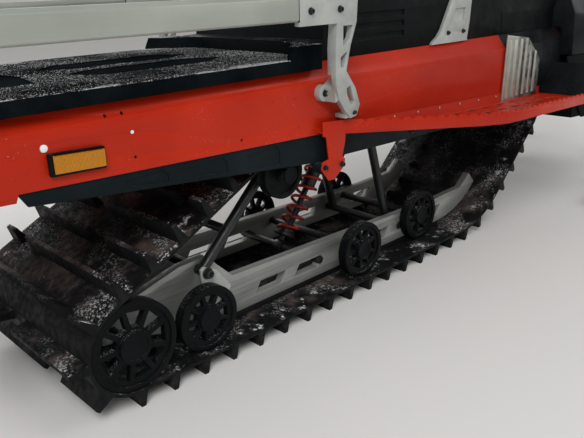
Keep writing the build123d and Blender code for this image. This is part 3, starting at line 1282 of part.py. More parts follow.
def make_bar_grips():
    """Grips with switch housings and levers."""
    grip = rod(along_bar(256.0), along_bar(388.0), 17.0)
    grip += rod(along_bar(214.0), along_bar(258.0), 24.0)
    a, y, z = along_bar(236.0)
    grip += rod((a, y, z), (a + 52.0, y + 6, z + 4), 9.0)
    grip += rod((a + 52.0, y + 6, z + 4), (a + 48.0, y + 130.0, z + 2), 6.0)
    grip -= rod(along_bar(162.0), along_bar(381.0), BAR_RADIUS + SEAT_GAP)
    return both_sides(grip)


def make_instrument_pod():
    """Gauge housing that grows out of the hood behind the screen."""
    side = [(1776.0, 880.0), (1762.0, 992.0), (1790.0, 1016.0), (1905.0, 984.0), (1920.0, 940.0)]
    pod = side_prism(side, -92.0, 92.0) - hood_solid(SEAT_GAP)
    return pod - steering_post(POST_RADIUS + 6.0)


def make_windshield():
    """Curved clear screen that stands on the hood."""
    base_z = 700.0
    half = SCREEN_HALF_WIDTH

    def arc(shrink):
        ends = at(SCREEN_EDGE_AHEAD) - shrink * 1.4
        middle = at(SCREEN_EDGE_AHEAD + SCREEN_BOW) - shrink
        return (ends, -half, base_z), (middle, 0.0, base_z), (ends, half, base_z)

    a, b, c = arc(0.0)
    d, e, f = arc(SCREEN_THICKNESS)
    outer = Edge.make_three_point_arc(a, b, c)
    inner = Edge.make_three_point_arc(f, e, d)
    section = Face(Wire([outer, Edge.make_line(c, f), inner, Edge.make_line(d, a)]))
    rise = (SCREEN_TOP - base_z) * math.hypot(1, SCREEN_LEAN)
    screen = extrude(section, amount=rise, dir=(-SCREEN_LEAN, 0, 1))
    trim = [(-half - 1, 600.0), (-half - 1, 1000.0), (-half + 35, SCREEN_TOP - 140), (-half + 80, SCREEN_TOP - 50)]
    trim += [(-140.0, SCREEN_TOP - 10), (-70.0, SCREEN_TOP)]
    trim += [(-y, z) for y, z in reversed(trim)]
    outline = make_face(Polyline(*[(at(1500.0), y, z) for y, z in trim], close=True))
    screen &= extrude(outline, amount=1100.0, dir=(1, 0, 0))
    return screen - hood_solid(SEAT_GAP)


def make_front_bumper():
    """Lower tube from the bulkhead's sides round the nose, with an upright hoop."""
    root = (2480.0, BULKHEAD_HALF + SEAT_GAP + BUMPER_RADIUS, FRONT_BUMPER_Z - 22.0)
    corner = (FRONT_BUMPER_AHEAD, 175.0, FRONT_BUMPER_Z)
    left = [root, corner]
    right = [(a, -y, z) for a, y, z in reversed(left)]
    lower = bent_tube(left + right, 50.0, BUMPER_RADIUS)
    foot = (FRONT_BUMPER_AHEAD - 1, FRONT_HOOP_Y, FRONT_BUMPER_Z)
    shoulder = (FRONT_BUMPER_AHEAD + 15, FRONT_HOOP_Y, FRONT_HOOP_TOP_Z)
    left = [foot, shoulder]
    right = [(a, -y, z) for a, y, z in reversed(left)]
    return lower + bent_tube(left + right, 44.0, BUMPER_RADIUS)


def make_rear_bumper():
    """Tail tube with the tow tongue."""
    y = TUNNEL_HALF_WIDTH + SEAT_GAP + BUMPER_RADIUS
    corners = [(-238.0, y), (BUMPER_TAIL, y), (BUMPER_TAIL, -y), (-238.0, -y)]
    bar = bent_tube([(ahead, side, BUMPER_Z) for ahead, side in corners], 54.0, BUMPER_RADIUS)
    plate = block(-337.0, -331.0, -272.0, 272.0, HITCH_Z, 610.0)
    tongue = block(TAIL_END, -336.0, -42.0, 42.0, HITCH_Z - HITCH_THICKNESS, HITCH_Z)
    tongue -= Pos(at(HITCH_AHEAD), 0, HITCH_Z) * Cylinder(HITCH_HOLE, 60.0)
    brace = block(-396.0, -336.0, 42.0, 50.0, HITCH_Z - HITCH_THICKNESS, 604.0)
    ends = block(-337.0, -300.0, 266.0, 271.7, HITCH_Z, 600.0)
    return bar + plate + tongue + both_sides(brace + ends)


def make_tail_lamp():
    top = RACK_LOW_Z + RACK_HEIGHT / 2 - 15.0 - SEAT_GAP
    return block(-292.0, -262.0, -120.0, 120.0, top - 34.0, top)


def make_snow_flap():
    flap = [(-330.7, 604.0), (-330.7, 556.0), (-344.0, 300.0), (-338.0, 300.0), (-324.7, 556.0), (-324.7, 604.0)]
    return side_prism(flap, -255.0, 255.0)


def make_reflectors():
    low = TUNNEL_HALF_WIDTH + SEAT_GAP
    piece = side_prism([(-132.0, 536.0), (-132.0, 577.0), (-28.0, 572.0), (-28.0, 532.0)], low, low + 10.0)
    return both_sides(piece)


def make_footwell_plates():
    """Ribbed bright plates on the tunnel's sides ahead of the seat."""
    low = TUNNEL_HALF_WIDTH + BOARD_SHEET + 2 * SEAT_GAP
    rear, front = PLATE_REAR, PLATE_REAR + PLATE_LENGTH
    foot_z = board_z(rear) + SEAT_GAP
    foot = [(front, board_z(front) + SEAT_GAP), (rear, foot_z)]
    outline = [(rear + 12, PLATE_TOP_Z), (rear + 152, PLATE_TOP_Z - 17), (front + 4, PLATE_TOP_Z - 94)] + foot
    plate = side_prism(outline, low, low + 4)
    for k in range(6):
        a = rear + 14.0 + k * 35.0
        rib = [(a, foot_z + 6), (a + 8, 640.0), (a + 20, 638.0), (a + 12, foot_z + 6)]
        if k > 3:
            rib = [(a, foot_z + 6), (a + 6, 596.0), (a + 18, 590.0), (a + 12, foot_z + 6)]
        plate += side_prism(rib, low + 3, low + 10)
    return both_sides(plate)


def make_post_bracket():
    """Bearing of the steering post, on struts from the front of the tunnel."""
    low_z, high_z = 706.0, 752.0
    low = (on_post(low_z), 0.0, low_z)
    high = (on_post(high_z), 0.0, high_z)
    bracket = rod(low, high, POST_RADIUS + 9.0)
    foot_z = TUNNEL_TOP_Z + SEAT_GAP
    bracket += block(1780.0, 1812.0, -110.0, 110.0, foot_z, foot_z + 6.0)
    for y in (-80.0, 80.0):
        middle = (on_post(728.0), 0.0, 728.0)
        bracket += rod((1796.0, y, foot_z + 6.0), middle, 7.0)
    return bracket - steering_post(POST_RADIUS + SEAT_GAP)


NODES = {
    "tunnel": make_tunnel,
    "tunnel_guards": make_tunnel_guards,
    "running_boards": make_running_boards,
    "cargo_deck": make_cargo_deck,
    "rack_rails": make_rack_rails,
    "cast_brackets": lambda: make_rack_brackets() + make_seat_brackets(),
    "seat_base": make_seat_base,
    "driver_seat": make_driver_seat,
    "passenger_seat": make_passenger_seat,
    "backrest": make_backrest,
    "backrest_frame": make_backrest_frame,
    "console": make_console,
    "hood": make_hood,
    "headlamps": make_headlamps,
    "engine_block": make_engine,
    "side_panels": make_side_panels,
    "belly_pan": make_belly_pan,
    "footwell_plates": make_footwell_plates,
    "windshield": make_windshield,
    "instrument_pod": make_instrument_pod,
    "bulkhead": make_bulkhead,
    "front_arms": make_front_arms,
    "shock_absorbers": lambda: make_front_shocks() + make_skid_shock(),
    "steering_crank": make_steering_crank,
    "left_tie_rod": lambda: make_tie_rod(1),
    "right_tie_rod": lambda: make_tie_rod(-1),
    "left_spindle": lambda: make_spindle(1),
    "right_spindle": lambda: make_spindle(-1),
    "left_ski": lambda: make_ski(1),
    "right_ski": lambda: make_ski(-1),
    "handlebar": make_handlebar,
    "post_bracket": make_post_bracket,
    "bar_grips": make_bar_grips,
    "front_bumper": make_front_bumper,
    "rear_bumper": make_rear_bumper,
    "tail_lamp": make_tail_lamp,
    "snow_flap": make_snow_flap,
    "track": make_track,
    "track_axles": lambda: make_drive_shaft() + make_wheel_axles(),
    "slide_rails": make_slide_rails,
    "wear_strips": make_wear_strips,
    "rear_wheels": make_rear_wheels,
    "bogie_wheels": lambda: make_bogie_wheels() + make_carrier_wheels(),
    "skid_arms": make_skid_arms,
    "reflectors": make_reflectors,
}

os.makedirs("parts", exist_ok=True)
for name, make in NODES.items():
    export_step(Compound(children=make().solids()), f"parts/{name}.step")
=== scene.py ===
import math

import bmesh
import bpy
from mathutils import Matrix, Vector
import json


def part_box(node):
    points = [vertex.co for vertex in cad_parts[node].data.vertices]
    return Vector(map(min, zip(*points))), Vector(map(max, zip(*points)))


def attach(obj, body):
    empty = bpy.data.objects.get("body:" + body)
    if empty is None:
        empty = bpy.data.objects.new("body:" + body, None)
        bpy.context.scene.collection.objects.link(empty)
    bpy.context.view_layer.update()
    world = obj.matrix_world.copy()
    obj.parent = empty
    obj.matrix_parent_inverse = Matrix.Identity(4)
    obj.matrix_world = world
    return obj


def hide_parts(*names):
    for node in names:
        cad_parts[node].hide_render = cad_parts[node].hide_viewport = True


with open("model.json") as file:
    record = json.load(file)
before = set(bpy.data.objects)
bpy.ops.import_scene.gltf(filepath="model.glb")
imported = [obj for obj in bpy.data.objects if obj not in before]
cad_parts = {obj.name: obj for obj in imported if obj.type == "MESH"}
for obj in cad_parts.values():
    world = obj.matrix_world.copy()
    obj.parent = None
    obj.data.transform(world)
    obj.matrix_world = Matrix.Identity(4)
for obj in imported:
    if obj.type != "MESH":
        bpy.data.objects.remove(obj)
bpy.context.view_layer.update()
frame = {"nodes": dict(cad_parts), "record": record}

# Places along the machine are given in metres ahead of the rear axle.
REAR_AXLE_X = -1.207


def at(ahead):
    """X of a place given in metres ahead of the rear axle."""
    return REAR_AXLE_X + ahead


# Faces of the solids that the added pieces sit on: distances from the middle plane, and heights
TUNNEL_SIDE = 0.275
BRACKET_FACE = 0.339
BRACKET_EAR_FACE = 0.2913
BOARD_EDGE = 0.295
BOARD_FLANGE_FACE = 0.2783
SEAT_BRACKET_FACE = 0.2533
DECK_TOP = 0.671
DECK_CORNER_RISE = 0.028
WHEEL_FACE = 0.25
BOGIE_FACE = 0.236
PIVOT_PLATE_FACE = 0.197
REAR_AXLE_HEIGHT = 0.1453
BOGIE_HEIGHT = 0.1233

# The red parts are black where reach * X + rise * Z is over a level; each line is (reach, rise, level)
TUNNEL_COAT_LINE = (1.0, 0.0, at(1.381))
BOARD_COAT_LINE = (1.0, 0.0, at(1.636))
HOOD_COAT_LINE = (-0.34, -1.0, -0.34 * at(2.0) - 0.79)

# Camera, found from the photograph: place, heading from +Y towards +X, tilt down, roll, and focal length
# in pixels of a picture as wide as the photograph
PHOTO_WIDTH = 584
CAMERA_PLACE = (at(-0.576), -1.314, 0.828)
CAMERA_HEADING = 0.768
CAMERA_TILT = 0.345
CAMERA_ROLL = -0.032
FOCAL_PIXELS = 655.871
SENSOR_WIDTH = 36.0


def add_camera():
    """The photograph's camera."""
    forward = Vector(
        (
            math.sin(CAMERA_HEADING) * math.cos(CAMERA_TILT),
            math.cos(CAMERA_HEADING) * math.cos(CAMERA_TILT),
            -math.sin(CAMERA_TILT),
        )
    )
    level_right = forward.cross(Vector((0, 0, 1))).normalized()
    level_up = level_right.cross(forward)
    right = level_right * math.cos(CAMERA_ROLL) + level_up * math.sin(CAMERA_ROLL)
    up = -level_right * math.sin(CAMERA_ROLL) + level_up * math.cos(CAMERA_ROLL)
    turn = Matrix((right, up, -forward)).transposed().to_4x4()
    bpy.ops.object.camera_add()
    camera = bpy.context.object
    camera.name = "camera"
    camera.matrix_world = Matrix.Translation(CAMERA_PLACE) @ turn
    camera.data.sensor_width = SENSOR_WIDTH
    camera.data.lens = SENSOR_WIDTH * FOCAL_PIXELS / PHOTO_WIDTH
    camera.data.clip_start = 0.02
    bpy.context.scene.camera = camera


# Selecting, editing and finishing

# Edges sharper than this many degrees are rounded
BEVEL_ANGLE = 30.0
# In a copied solid, corners closer than this become one corner, and faces within this many degrees one face
MERGE_DISTANCE = 0.00002
FLAT_ANGLE = 1.0


def deselect_all():
    """Selects nothing."""
    bpy.ops.object.select_all(action="DESELECT")


def pick(piece):
    """Selects one piece and makes it active."""
    deselect_all()
    piece.select_set(True)
    bpy.context.view_layer.objects.active = piece
    return piece


def settle(piece):
    """Puts a piece's place into its mesh."""
    pick(piece)
    bpy.ops.object.transform_apply(location=True, rotation=True, scale=True)
    return piece


def apply_all(piece):
    """Applies every modifier of a piece, in order."""
    pick(piece)
    for modifier in list(piece.modifiers):
        bpy.ops.object.modifier_apply(modifier=modifier.name)
    return piece


def bevel(piece, width, segments=2):
    """Rounds the sharp edges of a piece."""
    modifier = piece.modifiers.new("rounding", "BEVEL")
    modifier.width = width
    modifier.segments = segments
    modifier.limit_method = "ANGLE"
    modifier.angle_limit = math.radians(BEVEL_ANGLE)
    return apply_all(piece)


def smooth(piece, angle=35.0):
    """Shades a piece smooth, apart from edges sharper than the angle."""
    pick(piece)
    bpy.ops.object.shade_smooth_by_angle(angle=math.radians(angle))
    return piece


def join(pieces, name):
    """Joins pieces into one, under a new name."""
    deselect_all()
    for piece in pieces:
        piece.select_set(True)
    bpy.context.view_layer.objects.active = pieces[0]
    if len(pieces) > 1:
        bpy.ops.object.join()
    joined = bpy.context.view_layer.objects.active
    joined.name = name
    return joined


def select_faces(piece, wanted):
    """In edit mode, selects the faces whose middle and normal wanted() accepts, and nothing else."""
    mesh = bmesh.from_edit_mesh(piece.data)
    for face in mesh.faces:
        face.select_set(False)
    for face in mesh.faces:
        if wanted(face.calc_center_median(), face.normal):
            face.select_set(True)
    bmesh.update_edit_mesh(piece.data)


def add_box(name, low, high):
    """A block between two corners."""
    middle = [(a + b) / 2 for a, b in zip(low, high)]
    size = [b - a for a, b in zip(low, high)]
    deselect_all()
    bpy.ops.mesh.primitive_cube_add(size=1, location=middle, scale=size)
    piece = bpy.context.object
    piece.name = name
    return settle(piece)


def add_rod(name, start, end, radius, sides=24):
    """A round bar between two points."""
    start, end = Vector(start), Vector(end)
    deselect_all()
    bpy.ops.mesh.primitive_cylinder_add(
        vertices=sides,
        radius=radius,
        depth=(end - start).length,
        location=(start + end) / 2,
        rotation=(end - start).to_track_quat("Z", "Y").to_euler(),
    )
    piece = bpy.context.object
    piece.name = name
    return settle(piece)


def outline_piece(name, points, low, high, axis="Y"):
    """A plate whose outline is a list of points across the Y or X axis, carried from low to high along it."""
    deselect_all()
    bpy.ops.mesh.primitive_circle_add(vertices=len(points), radius=1, fill_type="NGON")
    piece = bpy.context.object
    piece.name = name
    for vertex, (u, v) in zip(piece.data.vertices, points):
        vertex.co = (u, low, v) if axis == "Y" else (low, u, v)
    reach = [0.0, 0.0, 0.0]
    reach["XYZ".index(axis)] = high - low
    bpy.ops.object.mode_set(mode="EDIT")
    bpy.ops.mesh.select_all(action="SELECT")
    bpy.ops.mesh.extrude_region_move(TRANSFORM_OT_translate={"value": reach})
    bpy.ops.mesh.select_all(action="SELECT")
    bpy.ops.mesh.normals_make_consistent(inside=False)
    bpy.ops.object.mode_set(mode="OBJECT")
    return settle(piece)


def copy_at(template, place, direction, size):
    """A copy of a piece that was modelled at the origin pointing up, with its own mesh."""
    piece = template.copy()
    piece.data = template.data.copy()
    bpy.context.scene.collection.objects.link(piece)
    turn = Vector(direction).to_track_quat("Z", "Y").to_matrix().to_4x4()
    piece.matrix_world = Matrix.Translation(place) @ turn @ Matrix.Scale(size, 4)
    return settle(piece)


def sink_top(piece, margin, depth):
    """Insets the top face of a piece that points up, and pushes it down."""
    pick(piece)
    top = max(vertex.co.z for vertex in piece.data.vertices)
    bpy.ops.object.mode_set(mode="EDIT")
    bpy.ops.mesh.select_mode(type="FACE")
    select_faces(piece, lambda middle, normal: normal.z > 0.9 and middle.z > top - 1e-6)
    bpy.ops.mesh.inset(thickness=margin)
    bpy.ops.mesh.extrude_region_move(TRANSFORM_OT_translate={"value": (0, 0, -depth)})
    bpy.ops.object.mode_set(mode="OBJECT")
    return piece


def cap_screw():
    """Socket screw on a washer, 1 m in radius, pointing up from the origin."""
    head = sink_top(add_rod("head", (0, 0, 0.15), (0, 0, 1.0), 0.72), 0.3, 0.5)
    bevel(head, 0.08, 2)
    washer = add_rod("washer", (0, 0, 0), (0, 0, 0.22), 1.0)
    bevel(washer, 0.05, 1)
    return smooth(join([head, washer], "cap_screw"))


def dome_rivet():
    """Rivet head, 1 m in radius, pointing up from the origin."""
    head = add_rod("rivet", (0, 0, 0), (0, 0, 0.5), 1.0, 16)
    return smooth(bevel(head, 0.3, 3))


def mirrored(places):
    """Places (distance ahead, y, z) on both sides, each with the direction that points outwards."""
    both = []
    for ahead, y, z in places:
        both.append(((at(ahead), y, z), (0, 1, 0)))
        both.append(((at(ahead), -y, z), (0, -1, 0)))
    return both


def scatter(template, name, places, size):
    """Copies of a template at (place, direction) pairs, joined as one piece."""
    return join([copy_at(template, place, direction, size) for place, direction in places], name)


def dressed(node, width, segments=2):
    """A copy of a CAD node with merged corners, rounded edges and smooth curves, which stands for it."""
    source = frame["nodes"][node]
    piece = bpy.data.objects.new(node + "_skin", source.data.copy())
    bpy.context.scene.collection.objects.link(piece)
    pick(piece)
    bpy.ops.mesh.customdata_custom_splitnormals_clear()
    bpy.ops.object.mode_set(mode="EDIT")
    bpy.ops.mesh.select_all(action="SELECT")
    bpy.ops.mesh.remove_doubles(threshold=MERGE_DISTANCE)
    bpy.ops.mesh.dissolve_limited(angle_limit=math.radians(FLAT_ANGLE))
    bpy.ops.object.mode_set(mode="OBJECT")
    if width:
        bevel(piece, width, segments)
    smooth(piece)
    piece.data.materials.clear()
    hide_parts(node)
    return piece


# Materials


class Finish:
    """A material under construction, with short ways to add the nodes that its pattern needs."""

    def __init__(self, name, colour, roughness, metallic=0.0):
        """Starts a material with constants on its shader, and patterns placed by the object's coordinates."""
        self.material = bpy.data.materials.new(name)
        self.material.use_nodes = True
        self.material.diffuse_color = (*colour, 1.0)
        self.tree = self.material.node_tree
        self.shader = self.tree.nodes["Principled BSDF"]
        self.shader.inputs["Base Color"].default_value = (*colour, 1.0)
        self.shader.inputs["Roughness"].default_value = roughness
        self.shader.inputs["Metallic"].default_value = metallic
        self.place = self.add("ShaderNodeTexCoord").outputs["Object"]

    def add(self, kind, **values):
        """A new node with some of its settings."""
        node = self.tree.nodes.new(kind)
        for name, value in values.items():
            setattr(node, name, value)
        return node

    def link(self, source, target):
        """Links an output to an input."""
        self.tree.links.new(source, target)

    def stretched(self, scale):
        """Object coordinates scaled by axis, for brushed or streaked patterns."""
        mapping = self.add("ShaderNodeMapping")
        mapping.inputs["Scale"].default_value = scale
        self.link(self.place, mapping.inputs["Vector"])
        return mapping.outputs["Vector"]

    def noise(self, scale, detail=3.0, rough=0.55, source=None):
        """Cloudy noise, from 0 to 1."""
        node = self.add("ShaderNodeTexNoise")
        node.inputs["Scale"].default_value = scale
        node.inputs["Detail"].default_value = detail
        node.inputs["Roughness"].default_value = rough
        self.link(source or self.place, node.inputs["Vector"])
        return node.outputs["Fac"]

    def cells(self, scale, feature):
        """Distance within a pattern of cells."""
        node = self.add("ShaderNodeTexVoronoi", feature=feature)
        node.inputs["Scale"].default_value = scale
        self.link(self.place, node.inputs["Vector"])
        return node.outputs["Distance"]

    def axis(self, name):
        """One of the object coordinates."""
        parts = self.add("ShaderNodeSeparateXYZ")
        self.link(self.place, parts.inputs["Vector"])
        return parts.outputs[name]

    def band(self, value, low, high, start=0.0, end=1.0):
        """Maps a value from low..high to start..end, smoothly and clamped."""
        node = self.add("ShaderNodeMapRange", interpolation_type="SMOOTHSTEP")
        for name, number in (("From Min", low), ("From Max", high), ("To Min", start), ("To Max", end)):
            node.inputs[name].default_value = number
        self.link(value, node.inputs["Value"])
        return node.outputs["Result"]

    def combine(self, a, b, operation="MULTIPLY"):
        """Result of a calculation with two values, each a number or a socket."""
        node = self.add("ShaderNodeMath", operation=operation)
        for value, socket in ((a, node.inputs[0]), (b, node.inputs[1])):
            if isinstance(value, (int, float)):
                socket.default_value = value
            else:
                self.link(value, socket)
        return node.outputs["Value"]

    def facing_up(self, low=0.4, high=0.95):
        """1 where the surface faces up, 0 where it doesn't."""
        geometry = self.add("ShaderNodeNewGeometry")
        parts = self.add("ShaderNodeSeparateXYZ")
        self.link(geometry.outputs["Normal"], parts.inputs["Vector"])
        return self.band(parts.outputs["Z"], low, high)

    def mixed(self, factor, first, second):
        """A colour between first and second, each a colour or a socket."""
        node = self.add("ShaderNodeMix", data_type="RGBA")
        self.link(factor, node.inputs["Factor"])
        for value, socket in ((first, node.inputs[6]), (second, node.inputs[7])):
            if isinstance(value, tuple):
                socket.default_value = (*value, 1.0)
            else:
                self.link(value, socket)
        return node.outputs[2]

    def colour(self, source):
        """Takes the surface's colour from a pattern."""
        self.link(source, self.shader.inputs["Base Color"])

    def roughness(self, source):
        """Takes the surface's roughness from a pattern."""
        self.link(source, self.shader.inputs["Roughness"])

    def bump(self, height, strength, distance, below=None):
        """Adds a bump to the surface, on top of an earlier one if given."""
        node = self.add("ShaderNodeBump")
        node.inputs["Strength"].default_value = strength
        node.inputs["Distance"].default_value = distance
        self.link(height, node.inputs["Height"])
        if below:
            self.link(below, node.inputs["Normal"])
        self.link(node.outputs["Normal"], self.shader.inputs["Normal"])
        return node.outputs["Normal"]


FROST = (0.74, 0.77, 0.79)


def frosted(f, base, amount, grain=300.0):
    """Lays frost crystals over a base colour, on what faces up."""
    crystals = f.band(f.noise(grain, 3.0, 0.65), 0.52, 0.66)
    drifts = f.band(f.noise(9.0, 4.0), 0.36, 0.66)
    layer = f.combine(f.combine(f.combine(crystals, drifts), f.facing_up()), amount)
    f.colour(f.mixed(layer, base, FROST))


def red_coat(name, line=None):
    """Red powder coat with orange peel, faint dirt and dried spray, black beyond a line in the side view."""
    f = Finish(name, (0.5, 0.022, 0.009), 0.34)
    f.shader.inputs["Specular IOR Level"].default_value = 0.14
    f.shader.inputs["Coat Weight"].default_value = 0.06
    f.shader.inputs["Coat Roughness"].default_value = 0.2
    base = f.mixed(f.band(f.noise(2.2, 4.0), 0.35, 0.7), (0.38, 0.014, 0.003), (0.49, 0.024, 0.005))
    if line:
        reach, rise, level = line
        beyond = f.combine(f.combine(f.axis("X"), reach), f.combine(f.axis("Z"), rise), "ADD")
        mask = f.band(beyond, level - 0.0006, level + 0.0006)
        black = f.mixed(f.band(f.noise(7.0, 4.0), 0.4, 0.7), (0.005, 0.0065, 0.0075), (0.012, 0.015, 0.017))
        base = f.mixed(mask, base, black)
    specks = f.band(f.noise(420.0, 2.0), 0.7, 0.76)
    patches = f.band(f.noise(9.0, 3.0), 0.42, 0.62)
    f.colour(f.mixed(f.combine(f.combine(specks, patches), 0.45), base, FROST))
    f.roughness(f.band(f.noise(14.0, 5.0), 0.3, 0.75, 0.28, 0.46))
    peel = f.bump(f.noise(520.0, 1.0), 0.05, 0.0006)
    f.bump(f.noise(6.0, 2.0), 0.06, 0.004, peel)
    return f.material


def moulded(name, colour, roughness, frost, grain=900.0, depth=0.25):
    """Moulded plastic with a fine grain, light scuffs and some frost on what faces up."""
    f = Finish(name, colour, roughness)
    f.shader.inputs["Specular IOR Level"].default_value = 0.07
    worn = tuple(min(1.0, c * 1.6 + 0.001) for c in colour)
    base = f.mixed(f.band(f.noise(5.0, 6.0), 0.4, 0.72), colour, worn)
    frosted(f, base, frost)
    f.roughness(f.band(f.noise(24.0, 4.0), 0.3, 0.7, roughness - 0.08, roughness + 0.14))
    f.bump(f.noise(grain, 2.0), depth, 0.0004)
    return f.material


def frosty_deck():
    """Black tray with scattered frost, hardly any in its panels and slots, and drifts along its edges."""
    f = Finish("frosty_deck", (0.004, 0.0055, 0.0065), 0.5)
    f.shader.inputs["Specular IOR Level"].default_value = 0.0
    base = f.mixed(f.band(f.noise(6.0, 5.0), 0.4, 0.7), (0.0035, 0.005, 0.006), (0.008, 0.0105, 0.012))
    height = f.axis("Z")
    sunk = f.band(height, DECK_TOP - 0.0016, DECK_TOP - 0.0008, 0.08, 1.0)
    slots = f.band(height, DECK_TOP - 0.006, DECK_TOP - 0.004)
    grain = f.band(f.noise(300.0, 4.0, 0.75), 0.5, 0.6)
    patchy = f.band(f.noise(7.0, 5.0, 0.65), 0.32, 0.66, 0.06, 0.24)
    thin = f.combine(f.combine(grain, patchy), f.combine(sunk, slots))
    wander = f.band(f.noise(6.0, 4.0, 0.6), 0.46, 0.66, -0.03, 0.03)
    side = f.combine(f.combine(f.axis("Y"), 0.0, "ABSOLUTE"), wander, "ADD")
    edge = f.combine(f.band(side, 0.264, 0.284), f.band(height, DECK_TOP - 0.003, DECK_TOP - 0.0015))
    thick = f.combine(edge, f.band(f.noise(210.0, 5.0, 0.75), 0.42, 0.56))
    cover = f.combine(f.combine(thin, thick, "MAXIMUM"), f.facing_up(0.5, 0.9))
    f.colour(f.mixed(cover, base, FROST))
    f.roughness(f.band(cover, 0.0, 1.0, 0.45, 0.92))
    low = f.bump(grain, 0.5, 0.0016)
    f.bump(thick, 0.3, 0.0015, low)
    return f.material


def rubber(name, frost, dust=(0.15, 0.12, 0.105), width=None):
    """Dark rubber with dust and crumbs of frost on what faces up, thicker near the edges if given a width."""
    f = Finish(name, (0.004, 0.0045, 0.005), 0.62)
    f.shader.inputs["Specular IOR Level"].default_value = 0.16
    base = f.mixed(f.band(f.noise(16.0, 5.0), 0.4, 0.75), (0.0025, 0.003, 0.0035), (0.009, 0.0095, 0.0105))
    up = f.combine(f.facing_up(0.5, 0.86), frost)
    film = f.combine(f.band(f.noise(7.0, 6.0, 0.68), 0.48, 0.7), up)
    crumbs = f.band(f.noise(170.0, 5.0, 0.75), 0.52, 0.6)
    drifts = f.band(f.noise(13.0, 5.0, 0.6), 0.46, 0.6)
    if width:
        side = f.combine(f.axis("Y"), 0.0, "ABSOLUTE")
        drifts = f.combine(drifts, f.band(side, width * 0.5, width, 0.25, 1.0))
        clods = f.combine(f.band(f.noise(26.0, 5.0, 0.7), 0.6, 0.64), f.band(side, width * 0.6, width * 0.95))
        drifts = f.combine(drifts, clods, "MAXIMUM")
        crumbs = f.combine(crumbs, clods, "MAXIMUM")
    layer = f.combine(f.combine(crumbs, drifts), up)
    f.colour(f.mixed(layer, f.mixed(film, base, dust), FROST))
    f.roughness(f.band(f.noise(60.0, 3.0), 0.3, 0.7, 0.5, 0.85))
    low = f.bump(f.noise(700.0, 3.0), 0.35, 0.0006)
    f.bump(layer, 0.5, 0.0025, low)
    return f.material


def brushed(name, colour, roughness, along, metallic=1.0, stained=0.3, grooves=0.0):
    """Anodised metal brushed along one axis, with lengthwise grooves on its sides if asked."""
    f = Finish(name, colour, roughness, metallic)
    scale = [420.0, 420.0, 420.0]
    scale["XYZ".index(along)] = 6.0
    lines = f.noise(1.0, 3.0, 0.6, f.stretched(scale))
    light = tuple(min(1.0, c * 1.22) for c in colour)
    stains = f.mixed(f.band(f.noise(4.0, 4.0), 0.35, 0.7), colour, light)
    marks = f.band(f.noise(1.0, 4.0, 0.6, f.stretched([s / 14 for s in scale])), 0.58, 0.72, 0.0, stained)
    f.colour(f.mixed(marks, stains, tuple(c * 0.5 for c in colour)))
    f.roughness(f.band(lines, 0.3, 0.7, roughness - 0.07, roughness + 0.12))
    low = f.bump(lines, 0.12, 0.0002)
    if grooves:
        waves = f.combine(f.combine(f.axis("Z"), grooves), 0.0, "SINE")
        f.bump(f.band(waves, 0.55, 0.95), 0.3, 0.0008, low)
    return f.material


def streaked_shaded_metal(name, colour):
    """Bright sheet with dark streaks from top to bottom, painted shade between its ribs, and both deepened
    towards its front by a painted shadow of the hood's side.
    """
    f = Finish(name, colour, 0.36, 0.6)
    streaks = f.noise(1.0, 5.0, 0.7, f.stretched((75.0, 75.0, 8.0)))
    # painted shadow of the hood's side: the streaks and the shade between the ribs grow darker towards the
    # front
    front = f.band(f.axis("X"), at(1.42), at(1.5), 0.3, 1.0)
    # painted shade in the recesses between the ribs, while the raised ribs stay bright
    between = f.band(f.combine(f.axis("Y"), 0.0, "ABSOLUTE"), 0.2835, 0.286, 1.0, 0.0)
    between_rib_shade = f.combine(between, f.band(f.noise(24.0, 4.0), 0.3, 0.6, 0.45, 1.0))
    streaks_and_shade = f.combine(f.combine(f.band(streaks, 0.5, 0.64, 0.0, 0.85), between_rib_shade, "MAXIMUM"), front)
    f.colour(f.mixed(streaks_and_shade, colour, tuple(c * 0.1 for c in colour)))
    f.roughness(f.band(f.noise(50.0, 4.0), 0.3, 0.7, 0.28, 0.55))
    low = f.bump(f.noise(300.0, 3.0), 0.25, 0.0006)
    f.bump(streaks, 0.2, 0.0015, low)
    return f.material


def cast(name, colour, metallic=0.25):
    """Cast alloy under thin grey paint, with a pebbled skin."""
    f = Finish(name, colour, 0.48, metallic)
    f.colour(f.mixed(f.band(f.noise(20.0, 5.0), 0.35, 0.7), colour, tuple(c * 1.2 for c in colour)))
    f.roughness(f.band(f.noise(70.0, 4.0), 0.3, 0.7, 0.38, 0.62))
    f.bump(f.noise(560.0, 3.0), 0.3, 0.0005)
    return f.material


def coated_steel(name, colour, roughness=0.42):
    """Satin powder coat."""
    f = Finish(name, colour, roughness)
    f.colour(f.mixed(f.band(f.noise(12.0, 5.0), 0.4, 0.75), colour, tuple(c * 1.7 + 0.003 for c in colour)))
    f.roughness(f.band(f.noise(50.0, 3.0), 0.3, 0.7, roughness - 0.1, roughness + 0.12))
    f.bump(f.noise(650.0, 2.0), 0.12, 0.0004)
    return f.material


def vinyl(name, colour):
    """Seat cover with a leather-like grain and a dusting of frost."""
    f = Finish(name, colour, 0.5)
    f.shader.inputs["Specular IOR Level"].default_value = 0.25
    grain = f.cells(420.0, "DISTANCE_TO_EDGE")
    base = f.mixed(f.band(f.noise(9.0, 5.0), 0.35, 0.7), colour, tuple(c * 1.8 for c in colour))
    frosted(f, base, 0.16, 340.0)
    f.roughness(f.band(f.noise(40.0, 4.0), 0.3, 0.7, 0.42, 0.62))
    low = f.bump(f.band(grain, 0.0, 0.12), 0.3, 0.0005)
    f.bump(f.noise(30.0, 3.0), 0.08, 0.002, low)
    return f.material


